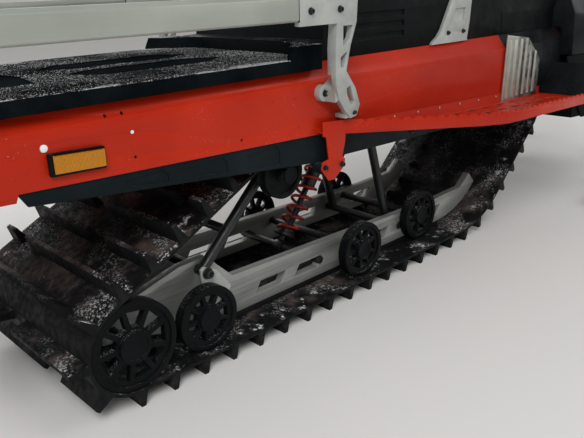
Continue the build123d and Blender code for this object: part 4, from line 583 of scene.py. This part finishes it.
def lens(name, colour, pitch):
    """Prismatic lamp or reflector lens with upright prisms, whose glints and shade are painted into its colour
    as lighter and darker stripes and cells.
    """
    f = Finish(name, colour, 0.14)
    f.shader.inputs["Specular IOR Level"].default_value = 0.2
    f.shader.inputs["Coat Weight"].default_value = 0.15
    f.shader.inputs["Transmission Weight"].default_value = 0.1
    prisms = f.combine(f.combine(f.axis("X"), pitch), 0.0, "SINE")
    cells = f.cells(330.0, "F1")
    # painted glints and shade of the prisms: lighter and darker stripes along X and cells over the lens
    glint_colour = tuple(min(1.0, c * 1.3) for c in colour)
    shaded_colour = tuple(c * 0.75 for c in colour)
    prism_glints_and_shade = f.combine(f.band(prisms, -0.8, 0.9, 0.4, 1.0), f.band(cells, 0.1, 0.7, 0.5, 1.0))
    f.colour(f.mixed(prism_glints_and_shade, shaded_colour, glint_colour))
    f.roughness(f.band(f.noise(60.0, 3.0), 0.3, 0.7, 0.1, 0.26))
    low = f.bump(prisms, 0.5, 0.0012)
    f.bump(cells, 0.3, 0.0008, low)
    return f.material


def frost_crystals():
    """Dull white ice grains."""
    f = Finish("frost_crystals", FROST, 0.7)
    f.shader.inputs["Specular IOR Level"].default_value = 0.2
    f.colour(f.mixed(f.band(f.noise(160.0, 3.0), 0.35, 0.65), (0.24, 0.235, 0.225), (0.6, 0.6, 0.59)))
    f.bump(f.noise(900.0, 2.0), 0.3, 0.0004)
    return f.material


def clear(name, colour, roughness):
    """Clear plastic, faintly tinted and dusty."""
    f = Finish(name, colour, roughness)
    f.shader.inputs["Transmission Weight"].default_value = 0.92
    f.shader.inputs["IOR"].default_value = 1.3
    f.colour(f.mixed(f.band(f.noise(7.0, 4.0), 0.4, 0.7), colour, tuple(c * 0.86 for c in colour)))
    f.roughness(f.band(f.noise(30.0, 5.0), 0.4, 0.75, roughness, roughness + 0.08))
    f.bump(f.noise(3.0, 1.0), 0.03, 0.004)
    return f.material


def floor_finish():
    """Plain pale floor."""
    f = Finish("floor_finish", (0.8, 0.795, 0.78), 0.8)
    f.colour(f.mixed(f.noise(1.2, 3.0), (0.79, 0.785, 0.77), (0.83, 0.825, 0.81)))
    return f.material


MATERIALS = {
    "red_paint": red_coat("red_paint"),
    "tunnel_paint": red_coat("tunnel_paint", TUNNEL_COAT_LINE),
    "board_paint": red_coat("board_paint", BOARD_COAT_LINE),
    "hood_paint": red_coat("hood_paint", HOOD_COAT_LINE),
    "black_plastic": moulded("black_plastic", (0.003, 0.0038, 0.0043), 0.46, 0.22),
    "frosty_deck": frosty_deck(),
    "wheel_plastic": moulded("wheel_plastic", (0.003, 0.0035, 0.004), 0.42, 0.35),
    "guard_plastic": moulded("guard_plastic", (0.005, 0.0085, 0.0105), 0.44, 0.2),
    "track_rubber": rubber("track_rubber", 0.9, (0.11, 0.085, 0.075), 0.25),
    "flap_rubber": rubber("flap_rubber", 0.2),
    "rack_aluminium": brushed("rack_aluminium", (0.35, 0.375, 0.335), 0.42, "X", 0.5, 0.15),
    "streaked_shaded_metal": streaked_shaded_metal("streaked_shaded_metal", (0.52, 0.53, 0.48)),
    "cast_alloy": cast("cast_alloy", (0.36, 0.38, 0.36)),
    "black_steel": coated_steel("black_steel", (0.007, 0.008, 0.009)),
    "bright_steel": brushed("bright_steel", (0.5, 0.51, 0.52), 0.34, "Y"),
    "rail_alloy": brushed("rail_alloy", (0.33, 0.34, 0.325), 0.44, "X", 0.6, 0.03, 480.0),
    "seat_vinyl": vinyl("seat_vinyl", (0.007, 0.0075, 0.009)),
    "amber_lens": lens("amber_lens", (0.52, 0.2, 0.006), 2600.0),
    "red_lens": lens("red_lens", (0.4, 0.006, 0.006), 1400.0),
    "clear_screen": clear("clear_screen", (0.85, 0.9, 0.92), 0.04),
    "lamp_lens": clear("lamp_lens", (0.9, 0.93, 0.95), 0.02),
    "ski_plastic": moulded("ski_plastic", (0.006, 0.0065, 0.007), 0.36, 0.25, 500.0, 0.1),
    "engine_alloy": cast("engine_alloy", (0.1, 0.1, 0.1), 0.8),
    "grip_rubber": rubber("grip_rubber", 0.0),
    "white_plastic": moulded("white_plastic", (0.72, 0.73, 0.72), 0.4, 0.0, 600.0, 0.08),
    "spring_red": coated_steel("spring_red", (0.36, 0.016, 0.008), 0.34),
    "gauge_glass": moulded("gauge_glass", (0.004, 0.006, 0.008), 0.12, 0.0, 300.0, 0.01),
    "frost": frost_crystals(),
    "wear_plastic": moulded("wear_plastic", (0.008, 0.008, 0.009), 0.34, 0.1, 500.0, 0.1),
}

# Nodes whose finish differs from that of the others in their slot
OWN_FINISH = {
    "tunnel": "tunnel_paint",
    "running_boards": "board_paint",
    "hood": "hood_paint",
    "cargo_deck": "frosty_deck",
    "rear_wheels": "wheel_plastic",
    "bogie_wheels": "wheel_plastic",
    "footwell_plates": "streaked_shaded_metal",
    "track_axles": "black_steel",
}

slot_of = {row["node"]: row["material_slot"] for row in frame["record"]["subparts"]}
body_of = {node: body for body, nodes in frame["record"]["behaviour"]["bodies"].items() for node in nodes}
CHASSIS = body_of["tunnel"]


def finish_piece(piece, slot, body, finish=None):
    """Gives a piece its finish, the slot's own unless another is given, and makes it ride on a body."""
    piece.data.materials.clear()
    piece.data.materials.append(MATERIALS[finish or slot])
    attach(piece, body)


# Studio: floor, soft lights and world


def add_studio():
    """Pale floor, soft sky and three soft lamps."""
    bpy.ops.mesh.primitive_plane_add(size=80)
    floor = bpy.context.object
    floor.name = "floor"
    floor.data.materials.append(floor_finish())
    world = bpy.data.worlds.new("sky")
    world.use_nodes = True
    bpy.context.scene.world = world
    sky = world.node_tree.nodes["Background"]
    sky.inputs["Color"].default_value = (0.93, 0.925, 0.91, 1)
    sky.inputs["Strength"].default_value = 0.43
    bpy.context.scene.view_settings.view_transform = "Standard"
    for name, place, size, power in (
        ("key_light", (-4.0, -3.6, 4.6), 3.0, 230.0),
        ("fill_light", (3.5, -3.5, 3.0), 3.0, 50.0),
        ("back_light", (1.0, 4.5, 4.0), 4.0, 100.0),
    ):
        bpy.ops.object.light_add(type="AREA", location=place)
        light = bpy.context.object
        light.name = name
        light.data.energy = power
        light.data.shape = "DISK"
        light.data.size = size
        aim = Vector((0, 0, 0.5)) - Vector(place)
        light.rotation_euler = aim.to_track_quat("-Z", "Y").to_euler()


# Rounding width of each dressed node, in metres
ROUNDING = {
    "tunnel": 0.0007,
    "tunnel_guards": 0.0015,
    "running_boards": 0.0006,
    "cargo_deck": 0.0025,
    "rack_rails": 0.0015,
    "cast_brackets": 0.0025,
    "seat_base": 0.006,
    "console": 0.02,
    "hood": 0.004,
    "footwell_plates": 0.0015,
    "track": 0.0015,
    "rear_wheels": 0.002,
    "bogie_wheels": 0.0018,
    "windshield": 0.0,
}
PADS = ("driver_seat", "passenger_seat", "backrest")
REPLACED = PADS + ("shock_absorbers", "reflectors")


def dress_frame():
    """Rounded copies of the rigid nodes, each in its finish."""
    for node in frame["nodes"]:
        if node not in REPLACED:
            piece = dressed(node, ROUNDING.get(node, 0.001))
            finish_piece(piece, slot_of[node], body_of[node], OWN_FINISH.get(node))


# Fasteners and other small pieces


def top_of(node, ahead, y):
    """Height of a dressed node's surface at a place, looking straight down."""
    piece = bpy.data.objects[node + "_skin"]
    bpy.context.view_layer.update()
    _, place, _, _ = piece.ray_cast(Vector((at(ahead), y, 3.0)), Vector((0, 0, -1)))
    return place.z


def add_screws():
    """Socket screws of the brackets, boards, skid and hood, and the rivets of the tunnel and the boards."""
    template = cap_screw()
    # distance ahead, distance from the middle, height, radius
    black = (
        (0.438, BRACKET_FACE, 0.773, 0.0075),
        (0.528, BRACKET_FACE, 0.773, 0.0075),
        (0.529, BRACKET_EAR_FACE, 0.590, 0.0085),
        (0.603, 0.3145, 0.538, 0.0065),
        (0.522, BOARD_EDGE, 0.416, 0.0075),
        (0.582, BOARD_EDGE, 0.413, 0.0075),
        (1.084, SEAT_BRACKET_FACE, 0.683, 0.0065),
        (1.162, SEAT_BRACKET_FACE, 0.683, 0.0065),
        (0.230, PIVOT_PLATE_FACE, 0.214, 0.014),
        (0.900, 0.2654, 0.438, 0.012),
    )
    screws = []
    for ahead, y, z, radius in black:
        for place, direction in mirrored([(ahead, y, z)]):
            screws.append(copy_at(template, place, direction, radius))
    # the hood's screws: distance ahead, y
    for ahead, y in ((2.45, 0.12), (2.45, -0.12), (1.84, 0.2), (1.84, -0.2)):
        screws.append(copy_at(template, (at(ahead), y, top_of("hood", ahead, y)), (0.3, 0, 1), 0.008))
    finish_piece(join(screws, "black_screws"), "black_steel", CHASSIS)
    bpy.data.objects.remove(template)

    template = dome_rivet()
    in_line = ((0.385, 0.5885), (0.4485, 0.586), (0.4587, 0.5216))
    places = mirrored([(ahead, TUNNEL_SIDE, z) for ahead, z in in_line])
    finish_piece(scatter(template, "tunnel_rivets", places, 0.0034), "red_paint", CHASSIS)
    places = mirrored([(0.033, TUNNEL_SIDE, 0.584)])
    finish_piece(scatter(template, "white_rivets", places, 0.0036), "white_plastic", CHASSIS)
    places = []
    for k in range(10):
        ahead = 0.60 + 0.105 * k
        places += mirrored([(ahead, BOARD_FLANGE_FACE, 0.5195 - 0.036 * ahead)])
    finish_piece(scatter(template, "board_rivets", places, 0.0036), "bright_steel", CHASSIS)
    bpy.data.objects.remove(template)


def add_plugs():
    """White plastic plugs in the tunnel's side holes."""
    plug = bevel(add_rod("plug", (0, 0, -0.3), (0, 0, 0.28), 1.0, 32), 0.16, 3)
    places = mirrored([(-0.133, TUNNEL_SIDE, 0.585)])
    finish_piece(scatter(smooth(plug), "tunnel_plugs", places, 0.0066), "white_plastic", CHASSIS)
    bpy.data.objects.remove(plug)


def add_reflectors():
    """Black holders with a ribbed edge, and amber prism lenses let into them."""
    frames = dressed("reflectors", 0.0035, 3)
    finish_piece(frames, "black_plastic", CHASSIS)
    frames.name = "reflector_holders"
    lenses = []
    ribs = []
    for side in (-1, 1):
        face = side * (TUNNEL_SIDE + 0.0104)
        outline = [(at(-0.1245), 0.5405), (at(-0.1245), 0.5725), (at(-0.0305), 0.568), (at(-0.0305), 0.5365)]
        lens = outline_piece("lens", outline, face - side * 0.004, face + side * 0.0016)
        lenses.append(bevel(lens, 0.0009, 2))
        for k in range(30):
            ahead = -0.1235 + 0.0031 * k
            top = 0.5768 - 0.048 * (ahead + 0.132)
            low = (at(ahead), face - 0.004, top - 0.003)
            high = (at(ahead + 0.0016), face + 0.001, top)
            ribs.append(add_box("rib", low, high))
    finish_piece(join(lenses, "reflector_lenses"), "amber_lens", CHASSIS)
    finish_piece(join(ribs, "reflector_ribs"), "black_plastic", CHASSIS)


def add_hubs():
    """Dark hub caps on the wheels, each with a stepped rim and a sunk middle."""
    cap = add_rod("cap", (0, 0, -0.1), (0, 0, 0.14), 1.0, 40)
    sink_top(cap, 0.22, 0.05)
    smooth(bevel(cap, 0.04, 2))
    hubs = []
    # distance ahead, distance from the middle, height, radius
    for ahead, y, z, radius in (
        (0.0, WHEEL_FACE, REAR_AXLE_HEIGHT, 0.036),
        (0.2, BOGIE_FACE, BOGIE_HEIGHT, 0.028),
        (0.74, BOGIE_FACE, BOGIE_HEIGHT, 0.028),
        (1.08, WHEEL_FACE - 0.06, BOGIE_HEIGHT, 0.028),
        (0.435, 0.266, 0.412, 0.02),
    ):
        for place, direction in mirrored([(ahead, y, z)]):
            hubs.append(copy_at(cap, place, direction, radius))
    finish_piece(join(hubs, "hub_caps"), "black_plastic", CHASSIS)
    bpy.data.objects.remove(cap)


def add_pivot_plates():
    """Cast plates over the ends of the rear arms' lower shaft, each on a foot from the slide rail."""
    outline = [(0.212, 0.226), (0.221, 0.232), (0.257, 0.214), (0.297, 0.16), (0.292, 0.15), (0.218, 0.15)]
    outline = [(at(ahead), z) for ahead, z in outline]
    plates = []
    for side in (-1, 1):
        low, high = sorted((side * 0.1902, side * PIVOT_PLATE_FACE))
        plates.append(bevel(outline_piece("plate", outline, low, high), 0.0018, 2))
        low, high = sorted((side * 0.1605, side * 0.194))
        plates.append(bevel(add_box("foot", (at(0.222), low, 0.1502), (at(0.288), high, 0.1565)), 0.0012, 2))
    finish_piece(join(plates, "pivot_plates"), "cast_alloy", CHASSIS)


def add_rail_ends():
    """Dark gaskets between the rack's rails and their cast brackets, and the plugs of the rear ends."""
    gaskets = []
    for side in (-1, 1):
        low, high = sorted((side * 0.3132, side * 0.3405))
        gasket = add_box("gasket", (at(0.4028), low, 0.7525), (at(0.4048), high, 0.8065))
        gaskets.append(bevel(gasket, 0.0006, 1))
        cap = add_box("cap", (at(-0.3035), low, 0.7525), (at(-0.2995), high, 0.8065))
        gaskets.append(bevel(cap, 0.0018, 2))
    finish_piece(join(gaskets, "rail_ends"), "black_plastic", CHASSIS)


# Springs: low end and high end as (distance ahead, y, z), radius, and the axes of the low eye and the high eye
SPRINGS = (
    ((2.355, 0.312, 0.244), (2.355, 0.205, 0.62), 0.031, ((1, 0, 0), (0, 1, 0))),
    ((2.355, -0.312, 0.244), (2.355, -0.205, 0.62), 0.031, ((1, 0, 0), (0, 1, 0))),
    ((0.64, 0.0, 0.104), (0.9, 0.0, 0.438), 0.034, ((0, 1, 0), (0, 1, 0))),
)


def coil(radius, wire, length, turns):
    """A coil spring with closed ends, standing on the origin."""
    deselect_all()
    bpy.ops.mesh.primitive_circle_add(
        vertices=10, radius=wire, location=(radius, 0, 0), rotation=(math.pi / 2, 0, 0), fill_type="NOTHING"
    )
    spring = settle(bpy.context.object)
    modifier = spring.modifiers.new("turns", "SCREW")
    modifier.angle = 2 * math.pi * turns
    modifier.screw_offset = length
    modifier.steps = modifier.render_steps = 26 * turns
    modifier.use_smooth_shade = True
    apply_all(spring)
    bpy.ops.object.mode_set(mode="EDIT")
    bpy.ops.mesh.select_all(action="SELECT")
    bpy.ops.mesh.fill_holes(sides=0)
    bpy.ops.mesh.normals_make_consistent(inside=False)
    bpy.ops.object.mode_set(mode="OBJECT")
    return spring


def add_dampers():
    """Dampers with their eyes, rods, spring seats and coil springs."""
    bodies = []
    springs = []
    for low, high, radius, axes in SPRINGS:
        low = Vector((at(low[0]), low[1], low[2]))
        high = Vector((at(high[0]), high[1], high[2]))
        along = (high - low).normalized()
        length = (high - low).length
        seat = length * 0.66
        # piston rod, tube, and the lower and upper spring seats, each with its collar
        for start, end, size in (
            (0.016, length * 0.55, 0.009),
            (length * 0.45, length - 0.016, 0.021),
            (0.03, 0.04, radius),
            (0.04, 0.052, 0.026),
            (seat, seat + 0.012, radius),
            (seat + 0.012, seat + 0.03, 0.027),
        ):
            rod = add_rod("damper", low + along * start, low + along * end, size, 32)
            bodies.append(smooth(bevel(rod, 0.0012, 2)))
        for place, axis in zip((low, high), axes):
            axis = Vector(axis)
            eye = add_rod("eye", place - axis * 0.013, place + axis * 0.013, 0.018, 32)
            bodies.append(smooth(bevel(eye, 0.0025, 2)))
        spring = coil(radius - 0.006, 0.0048, seat - 0.052, 7)
        turn = along.to_track_quat("Z", "Y").to_matrix().to_4x4()
        spring.matrix_world = Matrix.Translation(low + along * 0.046) @ turn
        springs.append(settle(spring))
    dampers = join(bodies, "dampers")
    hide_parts("shock_absorbers")
    finish_piece(dampers, "black_steel", CHASSIS)
    finish_piece(join(springs, "coil_springs"), "spring_red", CHASSIS)


def add_lamps():
    """Reflector bowls and projector lenses behind the headlamp glass."""
    bowls = []
    glows = []
    for side in (-1, 1):
        for ahead, y, z, size in ((2.632, 0.158, 0.688, 0.026), (2.672, 0.112, 0.676, 0.024)):
            deselect_all()
            place = (at(ahead), side * y, z)
            bpy.ops.mesh.primitive_uv_sphere_add(segments=32, ring_count=16, radius=size, location=place)
            ball = settle(bpy.context.object)
            glows.append(smooth(ball, 60))
            ring = add_rod("ring", Vector(place) - Vector((0.012, 0, 0.004)), Vector(place), size * 1.25, 40)
            bowls.append(smooth(bevel(ring, 0.003, 2)))
    finish_piece(join(glows, "projector_lenses"), "lamp_lens", CHASSIS)
    finish_piece(join(bowls, "lamp_rings"), "bright_steel", CHASSIS)


def add_display():
    """Gauge face and raised bezel on the rear of the instrument pod, and the console's fuel cap and key."""
    outline = [(-0.074, 0.916), (0.074, 0.916), (0.082, 0.93), (0.078, 0.984), (-0.078, 0.984), (-0.082, 0.93)]
    bezel = outline_piece("gauge_bezel", outline, at(1.754), at(1.775), "X")
    finish_piece(bevel(bezel, 0.003, 2), "black_plastic", CHASSIS)
    face = add_box("gauge_face", (at(1.7526), -0.066, 0.924), (at(1.76), 0.066, 0.976))
    finish_piece(smooth(bevel(face, 0.0025, 3)), "gauge_glass", CHASSIS)

    top = top_of("console", 1.5, 0.0)
    cap = add_rod("fuel_cap", (at(1.5), 0, top - 0.01), (at(1.5), 0, top + 0.03), 0.042, 48)
    # every second corner of the cap's top is drawn in, which gives it grip ribs
    for vertex in cap.data.vertices:
        turn = math.atan2(vertex.co.y, vertex.co.x - at(1.5))
        if vertex.co.z > top + 0.01 and round(turn * 24 / math.pi) % 2:
            vertex.co.x = at(1.5) + (vertex.co.x - at(1.5)) * 0.93
            vertex.co.y *= 0.93
    finish_piece(smooth(bevel(cap, 0.0018, 2)), "black_plastic", CHASSIS)
    top = top_of("console", 1.62, -0.09)
    key = add_rod("key_switch", (at(1.62), -0.09, top - 0.01), (at(1.62), -0.09, top + 0.012), 0.014, 32)
    finish_piece(smooth(bevel(sink_top(key, 0.005, 0.004), 0.0015, 2)), "bright_steel", CHASSIS)


# Frost grains on the deck: how many a square metre before they are thinned out, their radius at size 1,
# how far from the middle plane the larger ones start, and how far from the two levels a grain may be
GRAIN_DENSITY = 44000.0
GRAIN_RADIUS = 0.001
LARGE_GRAINS_FROM = 0.268
GRAIN_LEVEL = 0.0003


def add_frost_grains():
    """Ice grains on the deck and its raised corners, thinned out in patches and larger near the sides."""
    deck = bpy.data.objects["cargo_deck_skin"]
    piece = bpy.data.objects.new("deck_frost", deck.data.copy())
    bpy.context.scene.collection.objects.link(piece)
    group = bpy.data.node_groups.new("frost_grains", "GeometryNodeTree")
    for direction in ("INPUT", "OUTPUT"):
        group.interface.new_socket("Geometry", in_out=direction, socket_type="NodeSocketGeometry")
    link = group.links.new

    def node(kind, **values):
        """A new node with some of its settings."""
        new = group.nodes.new(kind)
        for name, value in values.items():
            setattr(new, name, value)
        return new

    def math_node(operation, first, second):
        """Result of a calculation with two values, each a number or a socket."""
        new = node("ShaderNodeMath", operation=operation)
        for value, socket in ((first, new.inputs[0]), (second, new.inputs[1])):
            if isinstance(value, (int, float)):
                socket.default_value = value
            else:
                link(value, socket)
        return new.outputs["Value"]

    def random_number(low, high, seed):
        """A number that differs from point to point."""
        new = node("FunctionNodeRandomValue")
        new.inputs[2].default_value = low
        new.inputs[3].default_value = high
        new.inputs["Seed"].default_value = seed
        return new.outputs[1]

    start = node("NodeGroupInput")
    end = node("NodeGroupOutput")
    spread = node("GeometryNodeDistributePointsOnFaces")
    spread.inputs["Density"].default_value = GRAIN_DENSITY
    spread.inputs["Seed"].default_value = 7
    place = node("ShaderNodeSeparateXYZ")
    link(node("GeometryNodeInputPosition").outputs[0], place.inputs[0])
    off_top = math_node("ABSOLUTE", math_node("SUBTRACT", place.outputs["Z"], DECK_TOP), 0.0)
    corner_top = DECK_TOP + DECK_CORNER_RISE
    off_corner = math_node("ABSOLUTE", math_node("SUBTRACT", place.outputs["Z"], corner_top), 0.0)
    off = math_node("MINIMUM", off_top, off_corner)
    patches = node("ShaderNodeTexNoise")
    patches.inputs["Scale"].default_value = 6.0
    patches.inputs["Detail"].default_value = 5.0
    thinned = math_node("LESS_THAN", patches.outputs[0], random_number(0.36, 0.66, 3))
    drop = node("GeometryNodeDeleteGeometry")
    link(start.outputs[0], spread.inputs["Mesh"])
    link(spread.outputs["Points"], drop.inputs["Geometry"])
    normal = node("ShaderNodeSeparateXYZ")
    link(spread.outputs["Normal"], normal.inputs[0])
    steep = math_node("LESS_THAN", normal.outputs["Z"], 0.8)
    beside = math_node("MAXIMUM", math_node("GREATER_THAN", off, GRAIN_LEVEL), steep)
    link(math_node("MAXIMUM", beside, thinned), drop.inputs["Selection"])
    grain = node("GeometryNodeMeshUVSphere")
    grain.inputs["Segments"].default_value = 4
    grain.inputs["Rings"].default_value = 2
    grain.inputs["Radius"].default_value = GRAIN_RADIUS
    side = math_node("GREATER_THAN", math_node("ABSOLUTE", place.outputs["Y"], 0.0), LARGE_GRAINS_FROM)
    growth = math_node("ADD", math_node("MULTIPLY", side, 0.5), 1.0)
    size = math_node("MULTIPLY", random_number(0.45, 1.25, 5), growth)
    lay = node("GeometryNodeInstanceOnPoints")
    link(drop.outputs[0], lay.inputs["Points"])
    link(grain.outputs["Mesh"], lay.inputs["Instance"])
    link(random_number(0.0, 3.0, 9), lay.inputs["Rotation"])
    link(size, lay.inputs["Scale"])
    whole = node("GeometryNodeRealizeInstances")
    link(lay.outputs[0], whole.inputs[0])
    link(whole.outputs[0], end.inputs[0])
    modifier = piece.modifiers.new("grains", "NODES")
    modifier.node_group = group
    apply_all(piece)
    finish_piece(piece, "frost", CHASSIS)


def add_flap_ribs():
    """Raised ribs of the snow flap."""
    ribs = []
    for y in (-0.2, -0.1, 0.0, 0.1, 0.2):
        outline = [(at(-0.3285), 0.545), (at(-0.3345), 0.54), (at(-0.3485), 0.32), (at(-0.343), 0.318)]
        rib = outline_piece("rib", outline, y - 0.008, y + 0.008)
        ribs.append(bevel(rib, 0.0015, 2))
    finish_piece(join(ribs, "flap_ribs"), "flap_rubber", CHASSIS)


# Cushions: how far the skin may swell, and the cross seams as distances ahead
CUSHIONS = {
    "driver_seat": (0.010, (1.13, 1.26)),
    "passenger_seat": (0.010, (0.73, 0.87)),
    "backrest": (0.012, ()),
}
# Voxel of the remesh, how much smaller than its solid a pad starts, how far its faces are crowned,
# the sewn channels, and the steps of the cloth simulation
VOXEL = 0.006
PAD_GAP = 0.006
PAD_CROWN = 0.012
SEAM_HALF_WIDTH = 0.007
SEAM_DEPTH = 0.006
CLOTH_STEPS = 20


def swell(piece, limit):
    """Blows the pad up with cloth pressure and keeps each point within a distance of where it was."""
    before = [vertex.co.copy() for vertex in piece.data.vertices]
    cloth = piece.modifiers.new("pressure", "CLOTH")
    cloth.settings.use_pressure = True
    cloth.settings.uniform_pressure_force = 4
    cloth.settings.effector_weights.gravity = 0
    cloth.settings.quality = 4
    for step in range(1, CLOTH_STEPS + 1):
        bpy.context.scene.frame_set(step)
    blown = piece.evaluated_get(bpy.context.evaluated_depsgraph_get())
    after = [vertex.co.copy() for vertex in blown.data.vertices]
    piece.modifiers.remove(cloth)
    bpy.context.scene.frame_set(1)
    for vertex, start, end in zip(piece.data.vertices, before, after):
        move = end - start
        if move.length > limit:
            move = move.normalized() * limit
        vertex.co = start + move


def shrunk_copy(node, gap):
    """A closed, remeshed copy of a soft solid, a little smaller than it."""
    source = frame["nodes"][node]
    piece = bpy.data.objects.new(node + "_pad", source.data.copy())
    bpy.context.scene.collection.objects.link(piece)
    pick(piece)
    bpy.ops.mesh.customdata_custom_splitnormals_clear()
    bpy.ops.object.mode_set(mode="EDIT")
    bpy.ops.mesh.select_all(action="SELECT")
    bpy.ops.mesh.remove_doubles(threshold=MERGE_DISTANCE)
    bpy.ops.object.mode_set(mode="OBJECT")
    low, high = (Vector(corner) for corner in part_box(node))
    middle = (low + high) / 2
    for vertex in piece.data.vertices:
        for axis in range(3):
            share = 1.0 - 2 * gap / (high[axis] - low[axis])
            vertex.co[axis] = middle[axis] + (vertex.co[axis] - middle[axis]) * share
    piece.data.remesh_voxel_size = VOXEL
    bpy.ops.object.voxel_remesh()
    relax = piece.modifiers.new("relax", "SMOOTH")
    relax.factor = 0.5
    relax.iterations = 5
    return apply_all(piece)


def dent(away, half):
    """Share of a seam's depth at a distance from its middle."""
    return (1 - (away / half) ** 2) ** 2 if away < half else 0.0


def sewn_back(place, normal, middle, half):
    """The place of a backrest's point, with a crowned front, two sewn channels and a seam round the edge."""
    across = (place.y - middle.y) / half.y
    up = (place.z - middle.z) / half.z
    front = min(1.0, max(0.0, normal.x * 2))
    place.x += PAD_CROWN * front * max(0.0, 1 - across**4) * max(0.0, 1 - up**4)
    for line in (0.3, -0.3):
        if abs(across) < 0.9:
            place.x -= SEAM_DEPTH * front * dent(abs(place.z - middle.z - line * half.z), 0.009)
    return place - normal * 0.003 * dent(abs(place.x - middle.x), 0.005) * (1 - front)


def sewn_seat(place, normal, middle, half, seams):
    """The place of a seat's point, with a crowned top, sewn channels, and a seam and a welt round the sides."""
    across = (place.y - middle.y) / half.y
    along = (place.x - middle.x) / half.x
    top = min(1.0, max(0.0, normal.z * 2))
    place.z += top * PAD_CROWN * (max(0.0, 1 - along**4) - across**2)
    bow = PAD_CROWN * across**2
    for line in seams:
        place.z -= top * SEAM_DEPTH * dent(abs(place.x - at(line) - bow), SEAM_HALF_WIDTH)
    for line in (-0.58, 0.58):
        place.z -= top * SEAM_DEPTH * dent(abs(across - line) * half.y, SEAM_HALF_WIDTH)
    outward = Vector((normal.x, normal.y, 0)) * (1 - top)
    level = place.z - middle.z - 0.3 * half.z
    seam = 0.0035 * dent(abs(level), 0.005)
    welt = 0.003 * dent(abs(level - 0.0085), 0.0045)
    return place + outward * (welt - seam)


def add_pad(node):
    """A padded cushion in the space of its solid."""
    limit, seams = CUSHIONS[node]
    piece = shrunk_copy(node, PAD_GAP)
    swell(piece, limit)
    finer = piece.modifiers.new("finer", "SUBSURF")
    finer.levels = finer.render_levels = 1
    apply_all(piece)
    low, high = (Vector(corner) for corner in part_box(node))
    middle = (low + high) / 2
    half = (high - low) / 2
    normals = [vertex.normal.copy() for vertex in piece.data.vertices]
    reach = Vector((0.005, 0.005, 0.010))
    for vertex, normal in zip(piece.data.vertices, normals):
        if node == "backrest":
            place = sewn_back(vertex.co.copy(), normal, middle, half)
        else:
            place = sewn_seat(vertex.co.copy(), normal, middle, half, seams)
        vertex.co = [min(max(place[k], low[k]), high[k] + reach[k]) for k in range(3)]
    piece.data.update()
    smooth(piece, 60)
    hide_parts(node)
    finish_piece(piece, "seat_vinyl", body_of[node])


add_camera()
add_studio()
dress_frame()
add_screws()
add_plugs()
add_reflectors()
add_hubs()
add_pivot_plates()
add_rail_ends()
add_dampers()
add_lamps()
add_display()
add_flap_ribs()
add_frost_grains()
for pad in PADS:
    add_pad(pad)
